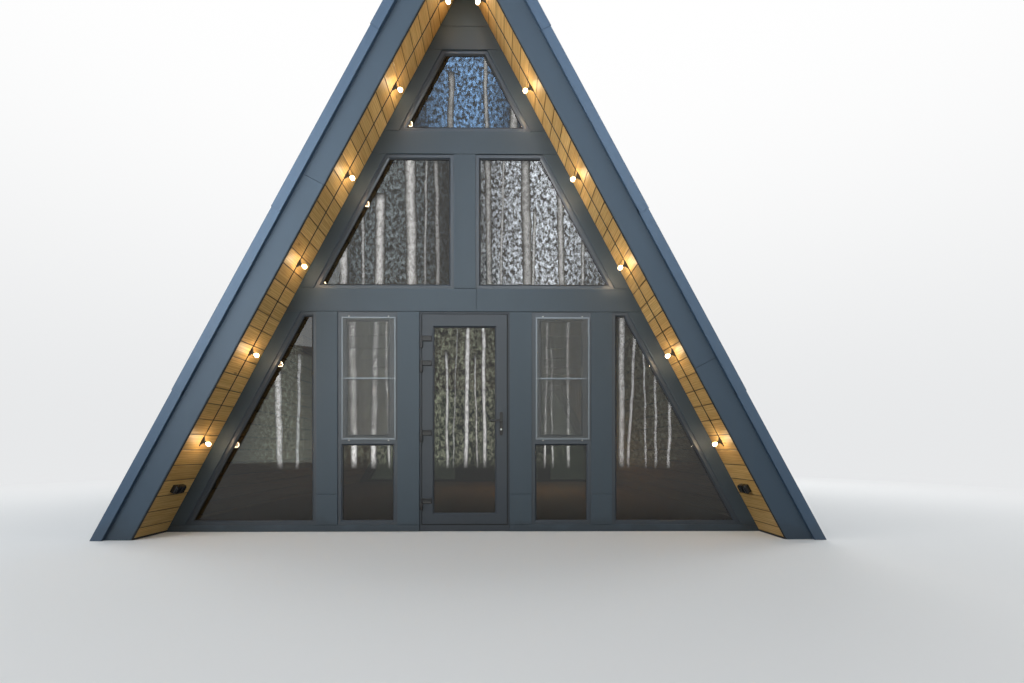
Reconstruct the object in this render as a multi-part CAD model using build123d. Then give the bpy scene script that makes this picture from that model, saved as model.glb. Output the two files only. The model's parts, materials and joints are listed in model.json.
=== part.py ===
"""A-frame cabin with a glazed front gable, a hinged glass door and standing-seam roof slopes.

Millimetres. X is to the right seen from the front, Y runs from the front gable (-Y) to the
rear gable (+Y), Z is up from the level that the cabin stands on. The origin is on that level,
in the middle of the plan.
"""
import os
from math import atan2, cos, hypot, radians, sin, tan

from build123d import *

os.makedirs("parts", exist_ok=True)

# Roof form. A perpendicular offset n is measured outwards from the soffit plane.
roof_angle = 61.7
inner_half_width = 3090.0
roof_length = 8000.0
lining_thick = 20.0
slab_thick = 260.0
sheet_thick = 6.0
seam_height = 32.0
seam_width = 8.0
seam_pitch = 500.0
fascia_height = 228.0
fascia_thick = 20.0
verge_face = 98.0
verge_proud = 30.0
verge_lap = 120.0
trim_thick = 6.0
eave_gap = 60.0
ridge_thick = 4.0
ridge_lap = 190.0

# Gable walls
overhang = 470.0
wall_thickness = 180.0
sill_height = 70.0
floor_beam_bottom = 2290.0
floor_beam_height = 240.0
upper_beam_bottom = 3930.0
upper_beam_height = 240.0
gable_panel_height = 723.0
rafter_board = 140.0
post_half = 115.0
door_half = 470.0
inner_panel_width = 230.0
outer_panel_width = 220.0
corner_top_width = 158.0

# Windows
frame_face = 45.0
frame_depth = 70.0
frame_setback = 12.0
pane_thick = 24.0
pane_setback = 18.0
pane_cover = 14.0
pane_edge_gap = 3.0
bead_face = 12.0
bead_depth = 12.0
transom_middle = 927.0
transom_face = 52.0
sash_face = 50.0
sash_depth = 60.0
screen_lap = 15.0
screen_drop = 12.0
screen_foot = 5.0
screen_shift = 12.0
screen_face = 14.0
screen_thick = 10.0
screen_bar_middle = 1594.0

# Door
door_gap = 9.0
door_edge = 21.0
stop_face = 62.0
stop_depth = 34.0
stop_gap = 6.0
leaf_thick = 60.0
threshold_height = 69.0
leaf_stile = 120.0
leaf_top_rail = 132.0
leaf_bottom_rail = 115.0

# Door hinges
hinge_tops = (2036.0, 1781.0, 1057.0, 349.0)
hinge_height = 125.0
hinge_flag_height = 56.0
hinge_flag_length = 94.0
hinge_radius = 9.0
hinge_pin_radius = 4.0
pin_clearance = 0.1
hinge_plate = 4.0
hinge_running_gap = 0.8
hinge_standoff = 2.0

# Door handles
spindle_height = 1156.0
handle_plate_length = 245.0
handle_plate_width = 34.0
handle_plate_thick = 10.0
handle_plate_above = 89.0
neck_radius = 8.0
neck_length = 42.0
lever_length = 118.0
lever_height = 20.0
lever_thick = 11.0
spindle_side = 8.0
spindle_bore_radius = 9.0
cylinder_drop = 92.0
cylinder_radius = 8.5
cylinder_proud = 3.0
end_flat = 1.0

# Floors
floor_board = 60.0
joist_width = 70.0
joist_pitch = 800.0

# String of lights under the front overhang
light_offset = 225.0
light_pitch = 1000.0
first_light_distance = 1070.0
light_ridge_distance = 250.0
cable_radius = 4.0
cable_gap = 0.3
cable_tail = 60.0
holder_radius = 13.0
holder_length = 50.0
holder_sides = 12
boot_length = 84.0
boot_height = 25.0
boot_width = 17.0
boot_end = 9.0
bulb_radius = 22.0
bulb_neck_radius = 10.0
bulb_neck = 6.0
bulb_sides = 12
bulb_rings = 6

# Twin socket boxes on the soffit
box_length = 150.0
box_width = 82.0
box_depth = 52.0
box_height = 476.0
box_corner = 8.0
lid_proud = 5.0
lid_margin = 9.0

# Derived values
slope_sin = sin(radians(roof_angle))
slope_cos = cos(radians(roof_angle))
slope_tan = tan(radians(roof_angle))
half_length = roof_length / 2
fascia_y = half_length - verge_proud
slab_y = fascia_y - fascia_thick
wall_y = fascia_y - overhang
wall_back = wall_y - wall_thickness
slab_n = lining_thick + slab_thick
sheet_n = slab_n + sheet_thick
verge_n = fascia_height + verge_face
floor_beam_top = floor_beam_bottom + floor_beam_height
upper_beam_top = upper_beam_bottom + upper_beam_height
window_in = door_half + inner_panel_width
transom_bottom = transom_middle - transom_face / 2
transom_top = transom_middle + transom_face / 2
frame_y = wall_y - frame_setback
frame_back = frame_y - frame_depth
leaf_half = door_half - door_edge - door_gap
leaf_back = wall_y - leaf_thick
leaf_bottom = threshold_height + door_gap
leaf_top = floor_beam_bottom - door_edge - door_gap
hinge_x = -(leaf_half + door_gap / 2)
hinge_y = -(wall_y + hinge_radius + hinge_standoff)
spindle_x = leaf_half - leaf_stile / 2


def slope_x(z, n=0.0):
    """Half width of the roof plane at height z and perpendicular offset n."""
    return inner_half_width + n / slope_sin - z / slope_tan


def apex_z(n=0.0):
    return slope_tan * (inner_half_width + n / slope_sin)


# Lines in the gable wall that follow the slopes
board_width = rafter_board / slope_sin
corner_in = slope_x(floor_beam_bottom) - board_width - corner_top_width
window_out = corner_in - outer_panel_width
gable_panel_bottom = apex_z() - gable_panel_height


def section(points, y):
    """Face with an outline in XZ at one depth."""
    return make_face(Polyline(*[(x, y, z) for x, z in points], close=True))


def prism(points, y0, y1):
    """Solid with an outline in XZ between two depths."""
    return extrude(section(points, y0), amount=y1 - y0, dir=(0, 1, 0))


def slab(x0, x1, y0, y1, z0, z1):
    return prism([(x0, z0), (x1, z0), (x1, z1), (x0, z1)], y0, y1)


def slope_strip(side, n0, n1, y0, y1, foot=0.0):
    """Layer of one roof slope, cut level at its foot and upright at the ridge."""
    points = [(side * slope_x(foot, n0), foot), (side * slope_x(foot, n1), foot)]
    points += [(0.0, apex_z(n1)), (0.0, apex_z(n0))]
    return prism(points, y0, y1)


def inset(points, distance):
    """Convex outline with each side moved inwards."""
    cx = sum(x for x, _ in points) / len(points)
    cz = sum(z for _, z in points) / len(points)
    lines = []
    for (x0, z0), (x1, z1) in zip(points, points[1:] + points[:1]):
        length = hypot(x1 - x0, z1 - z0)
        nx, nz = (z1 - z0) / length, (x0 - x1) / length
        if nx * (cx - x0) + nz * (cz - z0) < 0:
            nx, nz = -nx, -nz
        lines.append((nx, nz, nx * x0 + nz * z0 + distance))
    corners = []
    for (a, b, c), (d, e, f) in zip(lines[-1:] + lines[:-1], lines):
        det = a * e - b * d
        corners.append(((c * e - b * f) / det, (a * f - c * d) / det))
    return corners


def ring(points, face, y0, y1):
    return prism(points, y0, y1) - prism(inset(points, face), y0, y1)


def mirrored(points, side):
    return [(side * x, z) for x, z in points]


def write(node, *solids):
    shape = solids[0] if len(solids) == 1 else Compound(children=list(solids))
    export_step(shape, f"parts/{node}.step")


def in_depth(gable, near, far):
    """Depths counted outwards from the middle, on the front (-1) or rear (+1) gable."""
    return (-near, -far) if gable < 0 else (far, near)


# Outlines in the gable wall, for the right side
def rafter_outlines():
    outlines = []
    storeys = [(sill_height, floor_beam_bottom), (floor_beam_top, upper_beam_bottom),
               (upper_beam_top, gable_panel_bottom)]
    for low, high in storeys:
        outlines.append([(slope_x(low) - board_width, low), (slope_x(low), low),
                         (slope_x(high), high), (slope_x(high) - board_width, high)])
    return outlines


def beam_outline(low, high):
    return [(-slope_x(low), low), (slope_x(low), low), (slope_x(high), high), (-slope_x(high), high)]


def corner_outline():
    low, high = sill_height, floor_beam_bottom
    return [(corner_in, low), (slope_x(low) - board_width, low),
            (slope_x(high) - board_width, high), (corner_in, high)]


def side_outline():
    low, high = sill_height, floor_beam_bottom
    return [(window_in, low), (window_out, low), (window_out, high), (window_in, high)]


def middle_outline():
    low, high = floor_beam_top, upper_beam_bottom
    return [(post_half, low), (slope_x(low) - board_width, low),
            (slope_x(high) - board_width, high), (post_half, high)]


def top_outline():
    low, high = upper_beam_top, gable_panel_bottom
    wide, narrow = slope_x(low) - board_width, slope_x(high) - board_width
    return [(-wide, low), (wide, low), (narrow, high), (-narrow, high)]


def lower_light():
    """Fixed pane below the transom of a side window."""
    low, high = sill_height + frame_face, transom_bottom
    x0, x1 = window_in + frame_face, window_out - frame_face
    return [(x0, low), (x1, low), (x1, high), (x0, high)]


def upper_light():
    """Space above the transom of a side window."""
    low, high = transom_top, floor_beam_bottom - frame_face
    x0, x1 = window_in + frame_face, window_out - frame_face
    return [(x0, low), (x1, low), (x1, high), (x0, high)]


def glaze(frame, light, gable, front, back):
    """Open one light in a frame, with a splayed bead outside and a groove for the pane's edge."""
    y0, y1 = in_depth(gable, front, back)
    splay = loft([section(inset(light, -bead_face), gable * front),
                  section(light, gable * (front - bead_depth))], ruled=True)
    groove = prism(inset(light, -pane_cover), *pane_depths(gable, front))
    return frame - prism(light, y0, y1) - splay - groove


def pane_depths(gable, front):
    return in_depth(gable, front - pane_setback, front - pane_setback - pane_thick)


def pane(light, gable, front):
    """Pane of one light, with its edge in the groove of the frame."""
    return prism(inset(light, pane_edge_gap - pane_cover), *pane_depths(gable, front))


# Roof
def build_roof():
    for side, name in ((-1, "left"), (1, "right")):
        write(f"{name}_roof_lining", slope_strip(side, 0, lining_thick, -slab_y, slab_y))
        write(f"{name}_roof_slab", slope_strip(side, lining_thick, slab_n, -slab_y, slab_y))

        sheeting = slope_strip(side, slab_n, sheet_n, -slab_y, slab_y, eave_gap)
        seam_run = 2 * (half_length - verge_lap) - seam_pitch
        seams = int(seam_run // seam_pitch) + 1
        for index in range(seams):
            middle = (index - (seams - 1) / 2) * seam_pitch
            sheeting += slope_strip(side, sheet_n, sheet_n + seam_height,
                                    middle - seam_width / 2, middle + seam_width / 2, eave_gap)
        write(f"{name}_roof_sheeting", sheeting)

        trim = prism([(side * slope_x(z, n), z) for z, n in
                      ((0, slab_n), (0, sheet_n), (eave_gap, sheet_n), (eave_gap, slab_n))], -slab_y, slab_y)
        write(f"{name}_eave_trim", trim)

        fascias = [slope_strip(side, 0, fascia_height, -fascia_y, -slab_y),
                   slope_strip(side, 0, fascia_height, slab_y, fascia_y)]
        write(f"{name}_fascias", *fascias)
        write(f"{name}_verge_caps", verge_cap(side, -1), verge_cap(side, 1))

    cap = ridge_half(-1) + ridge_half(1)
    write("ridge_cap", cap)


def verge_cap(side, gable):
    """Folded trim that wraps the verge and turns down onto the sheeting."""
    front = half_length
    back = half_length - verge_lap

    def leg(n0, n1, near, far):
        y0, y1 = in_depth(gable, near, far)
        return slope_strip(side, n0, n1, y0, y1)

    cap = leg(fascia_height, verge_n, front, front - trim_thick)
    cap += leg(verge_n - trim_thick, verge_n, front, back)
    cap += leg(sheet_n, verge_n, back + trim_thick, back)
    cap += leg(fascia_height, fascia_height + trim_thick, front, slab_y)
    return cap


def ridge_half(side):
    n0, n1 = verge_n, verge_n + ridge_thick
    foot = apex_z(n0) - ridge_lap * slope_sin
    points = [(side * slope_x(foot, n0), foot), (side * slope_x(foot, n1), foot)]
    points += [(0.0, apex_z(n1)), (0.0, apex_z(n0))]
    return prism(points, -half_length, half_length)


# Gable walls
def wall_piece(points, side, gable):
    y0, y1 = in_depth(gable, wall_y, wall_back)
    return prism(mirrored(points, side), y0, y1)


def panel_outline(x0, x1):
    return [(x0, sill_height), (x1, sill_height), (x1, floor_beam_bottom), (x0, floor_beam_bottom)]


def sill_outline(x0):
    return [(x0, 0), (slope_x(0), 0), (slope_x(sill_height), sill_height), (x0, sill_height)]


def gable_outline():
    low = gable_panel_bottom
    return [(-slope_x(low), low), (slope_x(low), low), (0, apex_z())]


def post_outline():
    low, high = floor_beam_top, upper_beam_bottom
    return [(-post_half, low), (post_half, low), (post_half, high), (-post_half, high)]


def build_front_wall():
    write("front_sill", *[wall_piece(sill_outline(door_half), side, -1) for side in (-1, 1)])
    for side, name in ((-1, "left"), (1, "right")):
        panels = [wall_piece(panel_outline(door_half, window_in), side, -1),
                  wall_piece(panel_outline(window_out, corner_in), side, -1)]
        write(f"front_{name}_panels", *panels)
        boards = [wall_piece(points, side, -1) for points in rafter_outlines()]
        write(f"front_{name}_rafter_boards", *boards)
    write("front_floor_beam", wall_piece(beam_outline(floor_beam_bottom, floor_beam_top), 1, -1))
    write("front_upper_beam", wall_piece(beam_outline(upper_beam_bottom, upper_beam_top), 1, -1))
    write("front_centre_post", wall_piece(post_outline(), 1, -1))
    write("front_gable_panel", wall_piece(gable_outline(), 1, -1))


def build_rear_wall():
    write("rear_sill", wall_piece([(-slope_x(0), 0), (slope_x(0), 0), (slope_x(sill_height), sill_height),
                                   (-slope_x(sill_height), sill_height)], 1, 1))
    panels = [wall_piece(panel_outline(-window_in, window_in), 1, 1),
              wall_piece(post_outline(), 1, 1), wall_piece(gable_outline(), 1, 1)]
    panels += [wall_piece(panel_outline(window_out, corner_in), side, 1) for side in (-1, 1)]
    write("rear_panels", *panels)
    write("rear_rafter_boards", *[wall_piece(points, side, 1)
                                  for side in (-1, 1) for points in rafter_outlines()])
    write("rear_beams", wall_piece(beam_outline(floor_beam_bottom, floor_beam_top), 1, 1),
          wall_piece(beam_outline(upper_beam_bottom, upper_beam_top), 1, 1))


# Windows
def window_frame(outline, gable, lights):
    """Mitred frame in the wall, glazed in each of its lights."""
    frame = prism(outline, *in_depth(gable, frame_y, frame_back))
    for light in lights:
        frame = glaze(frame, light, gable, frame_y, frame_back)
    return frame


def single_window(outline, gable):
    """Frame and pane of a window with one light."""
    light = inset(outline, frame_face)
    return window_frame(outline, gable, [light]), pane(light, gable, frame_y)


def sash(outline):
    """Opening sash and its pane, flush with the frame that it shuts in."""
    light = inset(outline, sash_face)
    back = frame_y - sash_depth
    blank = prism(outline, *in_depth(-1, frame_y, back))
    return glaze(blank, light, -1, frame_y, back), pane(light, -1, frame_y)


def build_front_windows():
    for side, name in ((-1, "left"), (1, "right")):
        fixed, opening = mirrored(lower_light(), side), mirrored(upper_light(), side)
        side_frame = window_frame(mirrored(side_outline(), side), -1, [fixed])
        side_frame -= prism(opening, *in_depth(-1, frame_y, frame_back))
        corner_frame, corner_pane = single_window(mirrored(corner_outline(), side), -1)
        sash_frame, sash_pane = sash(opening)
        write(f"front_{name}_window_frames", side_frame, corner_frame)
        write(f"front_{name}_window_glass", pane(fixed, -1, frame_y), sash_pane, corner_pane)
        write(f"{name}_sash", sash_frame)
        write(f"{name}_insect_screen", insect_screen(side))
    upper = [top_outline(), middle_outline(), mirrored(middle_outline(), -1)]
    frames, panes = zip(*[single_window(outline, -1) for outline in upper])
    write("front_upper_window_frames", *frames)
    write("front_upper_window_glass", *panes)


def insect_screen(side):
    """Screen frame with a middle bar, lapped over the face of the window frame."""
    middle = side * (window_in + window_out) / 2 + screen_shift
    half = (window_out - window_in) / 2 - frame_face + screen_lap
    low, high = transom_top + screen_foot, floor_beam_bottom - frame_face - screen_drop
    y0, y1 = -frame_y - screen_thick, -frame_y
    screen = ring([(middle - half, low), (middle + half, low), (middle + half, high), (middle - half, high)],
                  screen_face, y0, y1)
    reach = half - screen_face
    return screen + slab(middle - reach, middle + reach, y0, y1, screen_bar_middle - screen_face / 2,
                         screen_bar_middle + screen_face / 2)


def build_rear_windows():
    outlines = [top_outline()]
    for side in (-1, 1):
        outlines += [mirrored(corner_outline(), side), mirrored(middle_outline(), side)]
    windows = [single_window(outline, 1) for outline in outlines]
    frames = [frame for frame, _ in windows]
    panes = [glass for _, glass in windows]
    for side in (-1, 1):
        lights = [mirrored(lower_light(), side), mirrored(upper_light(), side)]
        frames.append(window_frame(mirrored(side_outline(), side), 1, lights))
        panes += [pane(light, 1, frame_y) for light in lights]
    write("rear_window_frames", *frames)
    write("rear_window_glass", *panes)


# Door
def build_door():
    front, rebate = -frame_y, -leaf_back + stop_gap
    back = rebate + stop_depth
    inside = door_half - door_edge
    head = floor_beam_bottom - door_edge
    frame = slab(-door_half, door_half, front, back, 0, floor_beam_bottom)
    frame -= slab(-inside, inside, front, rebate, threshold_height, head)
    stop = door_half - stop_face
    frame -= slab(-stop, stop, rebate, back, threshold_height + stop_face - door_edge,
                  floor_beam_bottom - stop_face)
    frame += slab(-door_half, door_half, back, -wall_back, 0, threshold_height)
    write("door_frame", frame)

    half = leaf_half - leaf_stile
    low, high = leaf_bottom + leaf_bottom_rail, leaf_top - leaf_top_rail
    light = [(-half, low), (half, low), (half, high), (-half, high)]
    leaf = slab(-leaf_half, leaf_half, -wall_y, -leaf_back, leaf_bottom, leaf_top)
    leaf = glaze(leaf, light, -1, wall_y, leaf_back)
    bore = along_y(spindle_bore_radius, spindle_x, spindle_height, -wall_y, -leaf_back)
    write("door_leaf", leaf - bore)
    write("door_glass", pane(light, -1, wall_y))
    build_hinges()
    build_handles()


def along_y(radius, x, z, y0, y1):
    """Round bar along Y."""
    return Pos(x, (y0 + y1) / 2, z) * Rot(90, 0, 0) * Cylinder(radius, y1 - y0)


def upright(radius, z0, z1):
    """Round bar on the door's hinge line."""
    return Pos(hinge_x, hinge_y, (z0 + z1) / 2) * Cylinder(radius, z1 - z0)


def build_hinges():
    frame_side, leaf_side = [], []
    for top in hinge_tops:
        split = top - hinge_flag_height
        bottom = top - hinge_height
        knuckle_top = split - hinge_running_gap
        arm_front = hinge_y - hinge_plate / 2
        frame_knuckle = upright(hinge_radius, bottom, knuckle_top)
        frame_knuckle += slab(-door_half, hinge_x, -frame_y - hinge_plate, -frame_y, bottom, knuckle_top)
        frame_knuckle += slab(hinge_x - hinge_radius, hinge_x - hinge_radius + hinge_plate,
                              arm_front, -frame_y, bottom, knuckle_top)
        frame_side.append(frame_knuckle + upright(hinge_pin_radius, knuckle_top, top - hinge_plate))

        leaf_knuckle = upright(hinge_radius, split, top)
        leaf_knuckle += slab(hinge_x, hinge_x + hinge_radius + hinge_flag_length,
                             -wall_y - hinge_plate, -wall_y, split, top)
        bore = upright(hinge_pin_radius + pin_clearance, split, top - hinge_plate + pin_clearance)
        leaf_side.append(leaf_knuckle - bore)
    write("frame_hinges", *frame_side)
    write("leaf_hinges", *leaf_side)


def build_handles():
    plates = []
    plate_low = spindle_height + handle_plate_above - handle_plate_length
    plate_high = spindle_height + handle_plate_above
    for outwards, face in ((-1, -wall_y), (1, -leaf_back)):
        y0, y1 = sorted((face, face + outwards * handle_plate_thick))
        plate = slab(spindle_x - handle_plate_width / 2, spindle_x + handle_plate_width / 2,
                     y0, y1, plate_low, plate_high)
        plate = fillet(plate.edges().filter_by(Axis.Y), handle_plate_width / 2 - end_flat)
        plate -= along_y(neck_radius + pin_clearance, spindle_x, spindle_height, y0, y1)
        z0, z1 = sorted((face, face + outwards * (handle_plate_thick + cylinder_proud)))
        plates.append(plate + along_y(cylinder_radius, spindle_x, spindle_height - cylinder_drop, z0, z1))
    write("handle_plates", *plates)

    half = spindle_side / 2
    levers = slab(spindle_x - half, spindle_x + half, -wall_y, -leaf_back,
                  spindle_height - half, spindle_height + half)
    for outwards, face in ((-1, -wall_y), (1, -leaf_back)):
        end = face + outwards * (handle_plate_thick + neck_length)
        y0, y1 = sorted((face, end))
        levers += along_y(neck_radius, spindle_x, spindle_height, y0, y1)
        y0, y1 = sorted((end, end - outwards * lever_thick))
        grip = slab(spindle_x - lever_length, spindle_x + neck_radius, y0, y1,
                    spindle_height - lever_height / 2, spindle_height + lever_height / 2)
        levers += fillet(grip.edges().filter_by(Axis.Y), lever_height / 2 - end_flat)
    write("door_levers", levers)


# Floors
def build_floors():
    floor = prism(beam_outline(0, sill_height), -wall_back, wall_back)
    write("ground_floor", floor)

    board_bottom = floor_beam_top - floor_board
    upper = prism(beam_outline(board_bottom, floor_beam_top), -wall_back, wall_back)
    joists = int((2 * wall_back - joist_width) // joist_pitch) + 1
    for index in range(joists):
        middle = (index - (joists - 1) / 2) * joist_pitch
        upper += prism(beam_outline(floor_beam_bottom, board_bottom),
                       middle - joist_width / 2, middle + joist_width / 2)
    write("upper_floor", upper)


# Lights and sockets
def on_soffit(side, run, y):
    """Place whose Z points into the room, at a distance up the slope from its foot."""
    x = side * (inner_half_width - run * slope_cos)
    inwards = (-side * slope_sin, 0, -slope_cos)
    return Location(Plane(origin=(x, y, run * slope_sin), x_dir=(0, 1, 0), z_dir=inwards))


def cable_run(side, y):
    """Cable up one slope, cut upright where the two runs meet under the ridge."""
    start = first_light_distance - cable_tail
    length = inner_half_width / slope_cos - start
    place = on_soffit(side, start + length / 2, y) * Pos(0, 0, cable_radius + cable_gap)
    run = place * Rot(90, 0, 0) * Cylinder(cable_radius, length)
    return split(run, bisect_by=Plane.YZ, keep=Keep.TOP if side > 0 else Keep.BOTTOM)


def build_lights():
    y = -(wall_y + light_offset)
    lit_run = inner_half_width / slope_cos - light_ridge_distance - first_light_distance
    lights = int(lit_run // light_pitch) + 1
    cable = cable_run(-1, y) + cable_run(1, y)
    holder = lamp_holder()
    bulbs = []
    for side in (-1, 1):
        for index in range(lights):
            place = on_soffit(side, first_light_distance + index * light_pitch, y)
            cable += place * holder
            bulbs.append(place * Pos(0, 0, holder_length) * bulb())
    write("light_cable", cable)
    write("light_bulbs", *bulbs)


def lamp_holder():
    """Holder with a tapered boot along the cable, standing on the XY plane."""
    half = boot_length / 2
    outline = Polygon((-half, 0), (half, 0), (half, boot_end), (holder_radius, boot_height),
                      (-holder_radius, boot_height), (-half, boot_end), align=None)
    boot = extrude(Plane.YZ * outline, boot_width / 2, both=True)
    return extrude(RegularPolygon(holder_radius, holder_sides), holder_length) + boot


def bulb():
    """Faceted globe bulb on a short neck, standing on the XY plane."""
    rise = (bulb_radius ** 2 - bulb_neck_radius ** 2) ** 0.5
    middle = bulb_neck + rise
    first = atan2(-rise, bulb_neck_radius)
    rings = [(0, bulb_neck_radius)]
    for index in range(bulb_rings):
        turn = first + (radians(90) - first) * index / bulb_rings
        rings.append((middle + bulb_radius * sin(turn), bulb_radius * cos(turn)))
    sections = [Pos(0, 0, z) * RegularPolygon(radius, bulb_sides) for z, radius in rings]
    return loft(sections, ruled=True)


def build_sockets():
    y = -(wall_y + light_offset)
    run = box_height / slope_sin
    boxes = []
    for side in (-1, 1):
        box = Pos(0, 0, box_depth / 2) * Box(box_length, box_width, box_depth)
        box = fillet(box.edges().filter_by(Axis.Z), box_corner)
        lid = (box_length - 3 * lid_margin) / 2
        for shift in (-1, 1):
            place = Pos(shift * (lid + lid_margin) / 2, 0, box_depth + lid_proud / 2)
            box += place * Box(lid, box_width - 2 * lid_margin, lid_proud)
        boxes.append(on_soffit(side, run, y) * box)
    write("socket_boxes", *boxes)


build_roof()
build_front_wall()
build_rear_wall()
build_front_windows()
build_rear_windows()
build_door()
build_floors()
build_lights()
build_sockets()
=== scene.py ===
import json
import math

import bpy
from mathutils import Matrix, Vector


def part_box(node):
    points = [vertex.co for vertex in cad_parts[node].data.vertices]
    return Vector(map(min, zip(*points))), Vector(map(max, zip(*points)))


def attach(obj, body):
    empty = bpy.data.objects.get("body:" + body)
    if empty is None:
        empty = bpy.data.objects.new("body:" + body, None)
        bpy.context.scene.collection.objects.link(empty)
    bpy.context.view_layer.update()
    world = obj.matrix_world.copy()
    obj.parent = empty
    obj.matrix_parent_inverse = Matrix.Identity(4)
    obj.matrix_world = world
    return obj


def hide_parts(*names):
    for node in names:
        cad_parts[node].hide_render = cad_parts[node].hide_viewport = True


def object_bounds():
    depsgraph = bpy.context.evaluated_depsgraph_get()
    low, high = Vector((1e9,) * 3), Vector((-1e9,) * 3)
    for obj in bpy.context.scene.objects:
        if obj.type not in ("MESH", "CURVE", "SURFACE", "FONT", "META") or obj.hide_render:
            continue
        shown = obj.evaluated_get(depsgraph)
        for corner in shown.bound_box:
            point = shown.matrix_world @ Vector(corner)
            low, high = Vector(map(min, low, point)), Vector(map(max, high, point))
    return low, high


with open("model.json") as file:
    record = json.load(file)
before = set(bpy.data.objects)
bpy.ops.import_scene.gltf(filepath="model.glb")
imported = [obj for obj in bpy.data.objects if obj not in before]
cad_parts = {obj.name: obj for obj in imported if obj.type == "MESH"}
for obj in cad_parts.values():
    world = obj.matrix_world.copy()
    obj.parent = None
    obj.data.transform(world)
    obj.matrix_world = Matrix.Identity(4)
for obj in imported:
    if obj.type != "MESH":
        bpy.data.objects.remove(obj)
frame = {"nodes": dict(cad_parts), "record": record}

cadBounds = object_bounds()
nodes = frame["nodes"]
print("stage: frame loaded")


# Lines of the building, read from the frame
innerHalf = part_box("front_sill")[1].x            # half width between the soffits at ground level
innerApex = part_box("front_gable_panel")[1].z     # where the soffit planes meet
slopeAngle = math.atan2(innerApex, innerHalf)
slopeSin, slopeCos = math.sin(slopeAngle), math.cos(slopeAngle)
slopeRun = innerHalf / slopeCos                  # length of a soffit from its foot to the apex
wallFace = -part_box("front_floor_beam")[0].y      # distance of the wall faces from the middle
wallBack = -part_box("front_floor_beam")[1].y
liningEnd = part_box("left_roof_lining")[1].y      # soffit and slab stop here, behind the fascias
vergeEnd = cadBounds[1].y
bothSides = ((-1, "left"), (1, "right"))
bothGables = ((-1, "front"), (1, "rear"))

# Layers of the roof, measured square to the slope from the soffit
fasciaTop = 0.228
sheetBase, sheetThick = 0.280, 0.006
sheetFace = sheetBase + sheetThick
vergeTop = fasciaTop + 0.098                     # the ridge cap lies on the verge caps
vergeBack = 0.120                                # the verge caps reach back this far

runLow, runHigh = -0.3, slopeRun + 0.8           # roof pieces are made too long and then cut
spare = 0.01                                     # extra on other pieces that a plane cuts back
tiny = 0.001                                     # overlap of joined parts, and reach of a place test
mergeReach = 0.00001
facing = 0.95                                    # least share of a picked face's normal in the way it faces


def soffitX(z, offset=0.0):
    # distance from the middle at a height, on the soffit or on a plane parallel to it
    return innerHalf + offset / slopeSin - z * slopeCos / slopeSin


def slopePlane(side, offset=0.0):
    # a point and the outward normal of a plane that lies parallel to one roof slope
    normal = Vector((side * slopeSin, 0, slopeCos))
    return Vector((side * innerHalf, 0, 0)) + normal * offset, normal


def endPlanes(side, foot=0.0):
    # the cuts at the foot of a slope and under the ridge
    return [(Vector((0, 0, foot)), Vector((0, 0, -1))), (Vector((0, 0, 0)), Vector((-side, 0, 0)))]


def slopeMatrix(side):
    # local X runs up the slope, local Y is depth, local Z points outwards
    up = Vector((-side * slopeCos, 0, slopeSin))
    out = Vector((side * slopeSin, 0, slopeCos))
    matrix = Matrix((up, Vector((0, 1, 0)), out)).transposed().to_4x4()
    matrix.translation = Vector((side * innerHalf, 0, 0))
    return matrix


def span(side, near, far):
    # two distances from the middle as places on one side of it, the lower one first
    return sorted((side * near, side * far))


# Modelling helpers
def selectOnly(*objects):
    if bpy.context.mode != "OBJECT":
        bpy.ops.object.mode_set(mode="OBJECT")
    bpy.ops.object.select_all(action="DESELECT")
    for obj in objects:
        obj.select_set(True)
    if objects:
        bpy.context.view_layer.objects.active = objects[0]


def editAll(obj, mode="VERT"):
    selectOnly(obj)
    bpy.ops.object.mode_set(mode="EDIT")
    bpy.ops.mesh.select_mode(type=mode)
    bpy.ops.mesh.select_all(action="SELECT")


def leaveEdit():
    bpy.ops.object.mode_set(mode="OBJECT")


def applyPlace():
    bpy.ops.object.transform_apply(location=True, rotation=True, scale=True)


def addBlock(name, low, high):
    selectOnly()
    middle = [(a + b) / 2 for a, b in zip(low, high)]
    size = [b - a for a, b in zip(low, high)]
    bpy.ops.mesh.primitive_cube_add(size=1, location=middle, scale=size)
    block = bpy.context.object
    block.name = name
    applyPlace()
    return block


def addRod(name, radius, start, end, sides=16):
    selectOnly()
    start, end = Vector(start), Vector(end)
    turn = (end - start).to_track_quat("Z", "Y").to_euler()
    bpy.ops.mesh.primitive_cylinder_add(vertices=sides, radius=radius, depth=(end - start).length,
                                        location=(start + end) / 2, rotation=turn)
    rod = bpy.context.object
    rod.name = name
    applyPlace()
    return rod


def sliceOff(obj, planes):
    # each plane takes away what lies on its normal's side
    for point, normal in planes:
        editAll(obj)
        bpy.ops.mesh.bisect(plane_co=point, plane_no=normal, use_fill=True, clear_outer=True)
    leaveEdit()


def useModifier(obj, kind, **settings):
    selectOnly(obj)
    modifier = obj.modifiers.new(kind.title(), kind)
    for key, value in settings.items():
        setattr(modifier, key, value)
    bpy.ops.object.modifier_apply(modifier=modifier.name)


def softenEdges(obj, width, segments=1, angle=30):
    useModifier(obj, "BEVEL", width=width, segments=segments, limit_method="ANGLE",
                angle_limit=math.radians(angle), use_clamp_overlap=True)


def repeat(obj, count, step):
    useModifier(obj, "ARRAY", count=count, use_relative_offset=False, use_constant_offset=True,
                constant_offset_displace=step)


def faceOut(obj, merge=False):
    editAll(obj)
    if merge:
        bpy.ops.mesh.remove_doubles(threshold=mergeReach)
    bpy.ops.mesh.normals_make_consistent(inside=False)
    leaveEdit()


def transformMesh(obj, matrix):
    obj.matrix_world = matrix @ obj.matrix_world
    selectOnly(obj)
    applyPlace()
    if matrix.determinant() < 0:
        faceOut(obj)


def layOnSlope(obj, side, planes):
    # from the slope's own axes to its place on the roof, then cut to length
    transformMesh(obj, slopeMatrix(side))
    sliceOff(obj, planes)


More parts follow.
